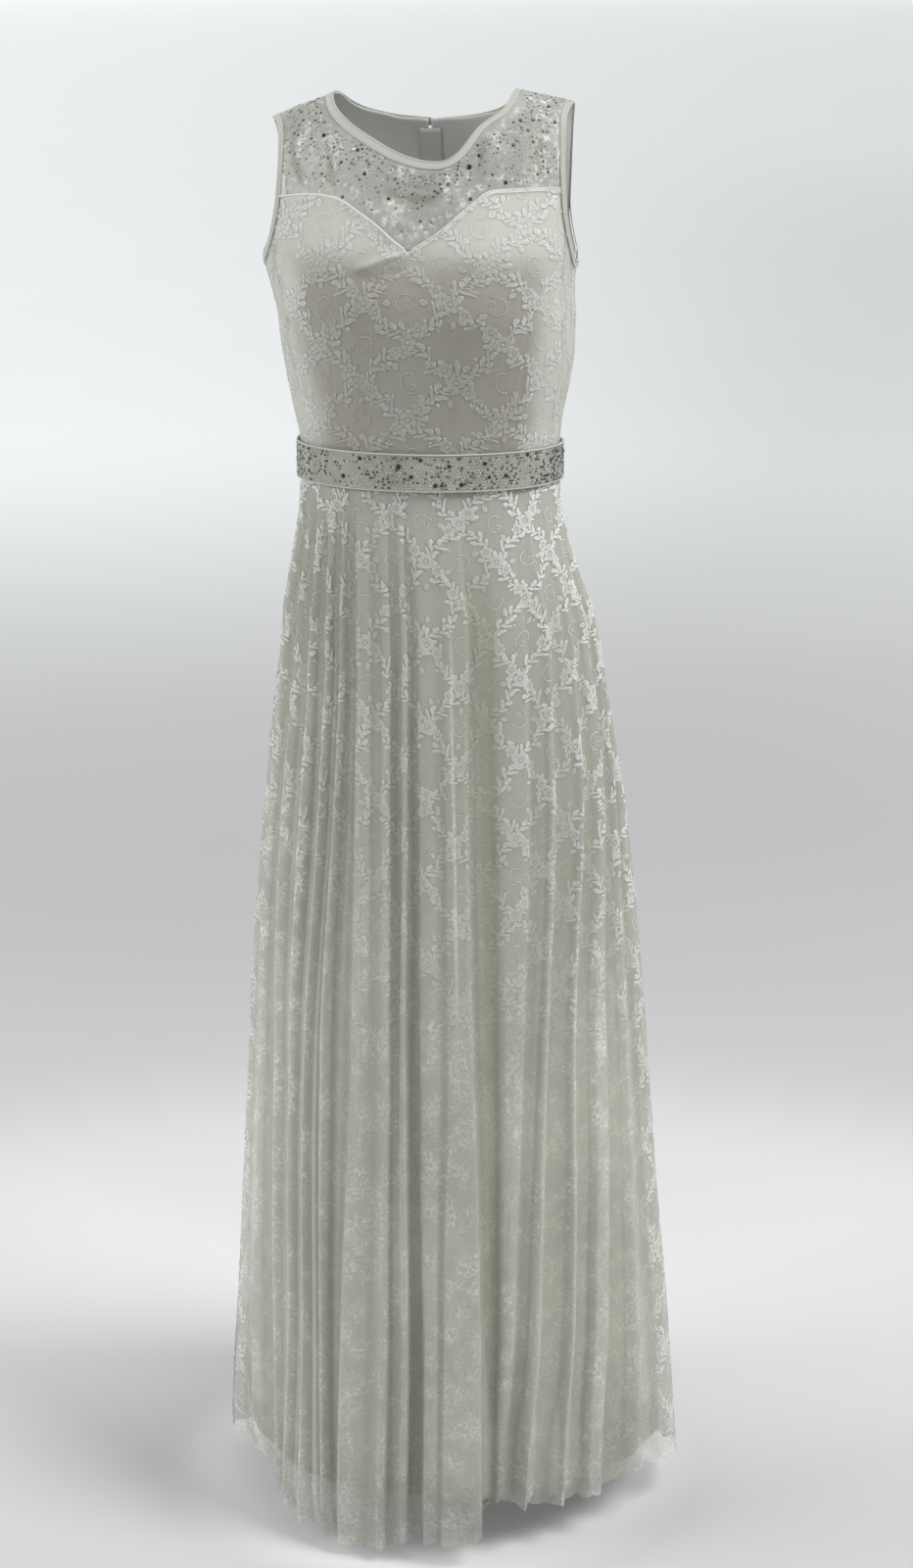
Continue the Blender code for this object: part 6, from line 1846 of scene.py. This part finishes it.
# ---------------------------------------------------------------- stage
def floor():
    """A round pale floor with painted light in its colour and glow: a little darker beyond the object
    and lighter again far off, as a lit paper sweep is."""
    mesh = bpy.data.meshes.new("floor")
    sides, rings = 96, (0.0, 0.6, 1.5, 4.0, 12.0, 40.0, 70.0)
    pts = [(0.0, 0.0, -SHOULDER)]
    for r in rings[1:]:
        pts += [(r * math.cos(2 * math.pi * k / sides), r * math.sin(2 * math.pi * k / sides), -SHOULDER) for k in range(sides)]
    faces = [(0, 1 + k, 1 + (k + 1) % sides) for k in range(sides)]
    for ring_ in range(len(rings) - 2):
        a, b = 1 + ring_ * sides, 1 + (ring_ + 1) * sides
        faces += [(a + k, b + k, b + (k + 1) % sides, a + (k + 1) % sides) for k in range(sides)]
    for high in (2.0, 5.0, 10.0, 20.0):  # far off it rises, so that no view ends in an edge
        a, b = len(pts) - sides, len(pts)
        pts += [(rings[-1] * math.cos(2 * math.pi * k / sides), rings[-1] * math.sin(2 * math.pi * k / sides), high - SHOULDER) for k in range(sides)]
        faces += [(a + k, b + k, b + (k + 1) % sides, a + (k + 1) % sides) for k in range(sides)]
    mesh.from_pydata(pts, [], faces)
    obj = bpy.data.objects.new("floor", mesh)
    bpy.context.scene.collection.objects.link(obj)
    made, m, shader = finish_of("floor", Roughness=0.8, Specular_IOR_Level=0.15)
    place = m.tree.nodes.new("ShaderNodeTexCoord")
    length = m.tree.nodes.new("ShaderNodeVectorMath")
    length.operation = "LENGTH"
    m.tree.links.new(place.outputs["Object"], length.inputs[0])
    r = m.sqrt(m.maximum(m.wire(length.outputs["Value"]) * m.wire(length.outputs["Value"]) - SHOULDER**2, 0.0))
    split = m.tree.nodes.new("ShaderNodeSeparateXYZ")
    m.tree.links.new(place.outputs["Object"], split.inputs[0])
    aside = m.wire(split.outputs[0]) / m.maximum(r, 0.5)
    near_ = m.ramp(r, 1.45, 0.95)
    under = m.ramp(r, 0.31, 0.22)
    right = m.ramp(aside, -0.12, 0.06) * m.ramp(r, 3.5, 8.0) * m.ramp(r, 24.0, 12.0)
    far_ = m.ramp(r, 1.7, 7.5)
    side = m.ramp(aside, 0.05, -0.32) * far_
    soft = m.noise(1.3, 0.0)
    y, z = m.wire(split.outputs[1]), m.wire(split.outputs[2])
    front = m.ramp(y, 0.30, -0.20)
    # painted light and shade: the floor lighter near the dress and under the skirt, darker in front
    shade = near_ * 0.13 + under * 0.10 - front * 0.18 + (soft - 0.5) * 0.03 + 0.64
    tone = m.scaled(m.mix((0.99, 1.0, 1.0), (1.0, 1.0, 1.0), 0.5), shade)
    m.tree.links.new(tone, shader.inputs["Base Color"])
    shader.inputs["Emission Color"].default_value = (0.965, 1.0, 1.0, 1.0)
    lx, ly = m.wire(split.outputs[0]) + 0.60, y - 0.25
    painted_fill_glow = m.ramp(m.sqrt(lx * lx + ly * ly), 0.60, 0.05)  # painted glow to the left lightens the dress's shadow there
    # painted light: the floor glows far off, more on the left and less on the right, and under the skirt
    glow = far_ * FAR_GLOW + side * 0.13 - right * 0.075 + under * 0.09 + painted_fill_glow * 0.12
    m.feed(glow * (1.0 - m.ramp(z, -SHOULDER, 20.0)), shader.inputs["Emission Strength"])
    mesh.materials.append(made)
    return obj


FAR_GLOW = 0.49
floor()


def lamp(name, place, target, size, power, colour=(1.0, 1.0, 1.0)):
    data = bpy.data.lights.new(name, "AREA")
    data.shape, data.size, data.energy, data.color = "DISK", size, power, colour
    obj = bpy.data.objects.new(name, data)
    bpy.context.scene.collection.objects.link(obj)
    obj.location = place
    direction = np.array(place, float) - np.array(target, float)
    flat = math.hypot(direction[0], direction[1])
    obj.rotation_euler = (math.atan2(flat, direction[2]), 0.0, math.atan2(direction[1], direction[0]) + HALF_PI)
    return obj


lamp("key", (3.3, -1.2, 3.6), (0.0, 0.0, -0.5), 2.6, 270.0)
lamp("left", (-3.0, -1.3, 0.8), (0.1, 0.0, -1.1), 2.4, 70.0)

world = bpy.data.worlds.new("studio")
bpy.context.scene.world = world
world.use_nodes = True
ground = world.node_tree.nodes["Background"]
ground.inputs["Color"].default_value = (0.985, 1.0, 1.0, 1.0)
ground.inputs["Strength"].default_value = 0.34

camera = bpy.data.objects.new("camera", bpy.data.cameras.new("camera"))
bpy.context.scene.collection.objects.link(camera)
bpy.context.scene.camera = camera
AZIMUTH, PITCH, DISTANCE, EYE = math.radians(7.0), math.radians(14.93), 3.30, 1.654
camera.location = (
    DISTANCE * math.sin(AZIMUTH) + 0.027 * math.cos(AZIMUTH),
    -DISTANCE * math.cos(AZIMUTH) + 0.027 * math.sin(AZIMUTH),
    EYE - SHOULDER,
)
camera.rotation_euler = (HALF_PI - PITCH, 0.0, AZIMUTH)
camera.data.sensor_fit = "VERTICAL"
camera.data.angle_y = 2 * math.atan(800 / 3330)
camera.data.clip_end = 300.0

scene = bpy.context.scene
scene.view_settings.view_transform = "Standard"
scene.view_settings.look = "None"
scene.view_settings.exposure = 0.0
scene.view_settings.gamma = 1.0
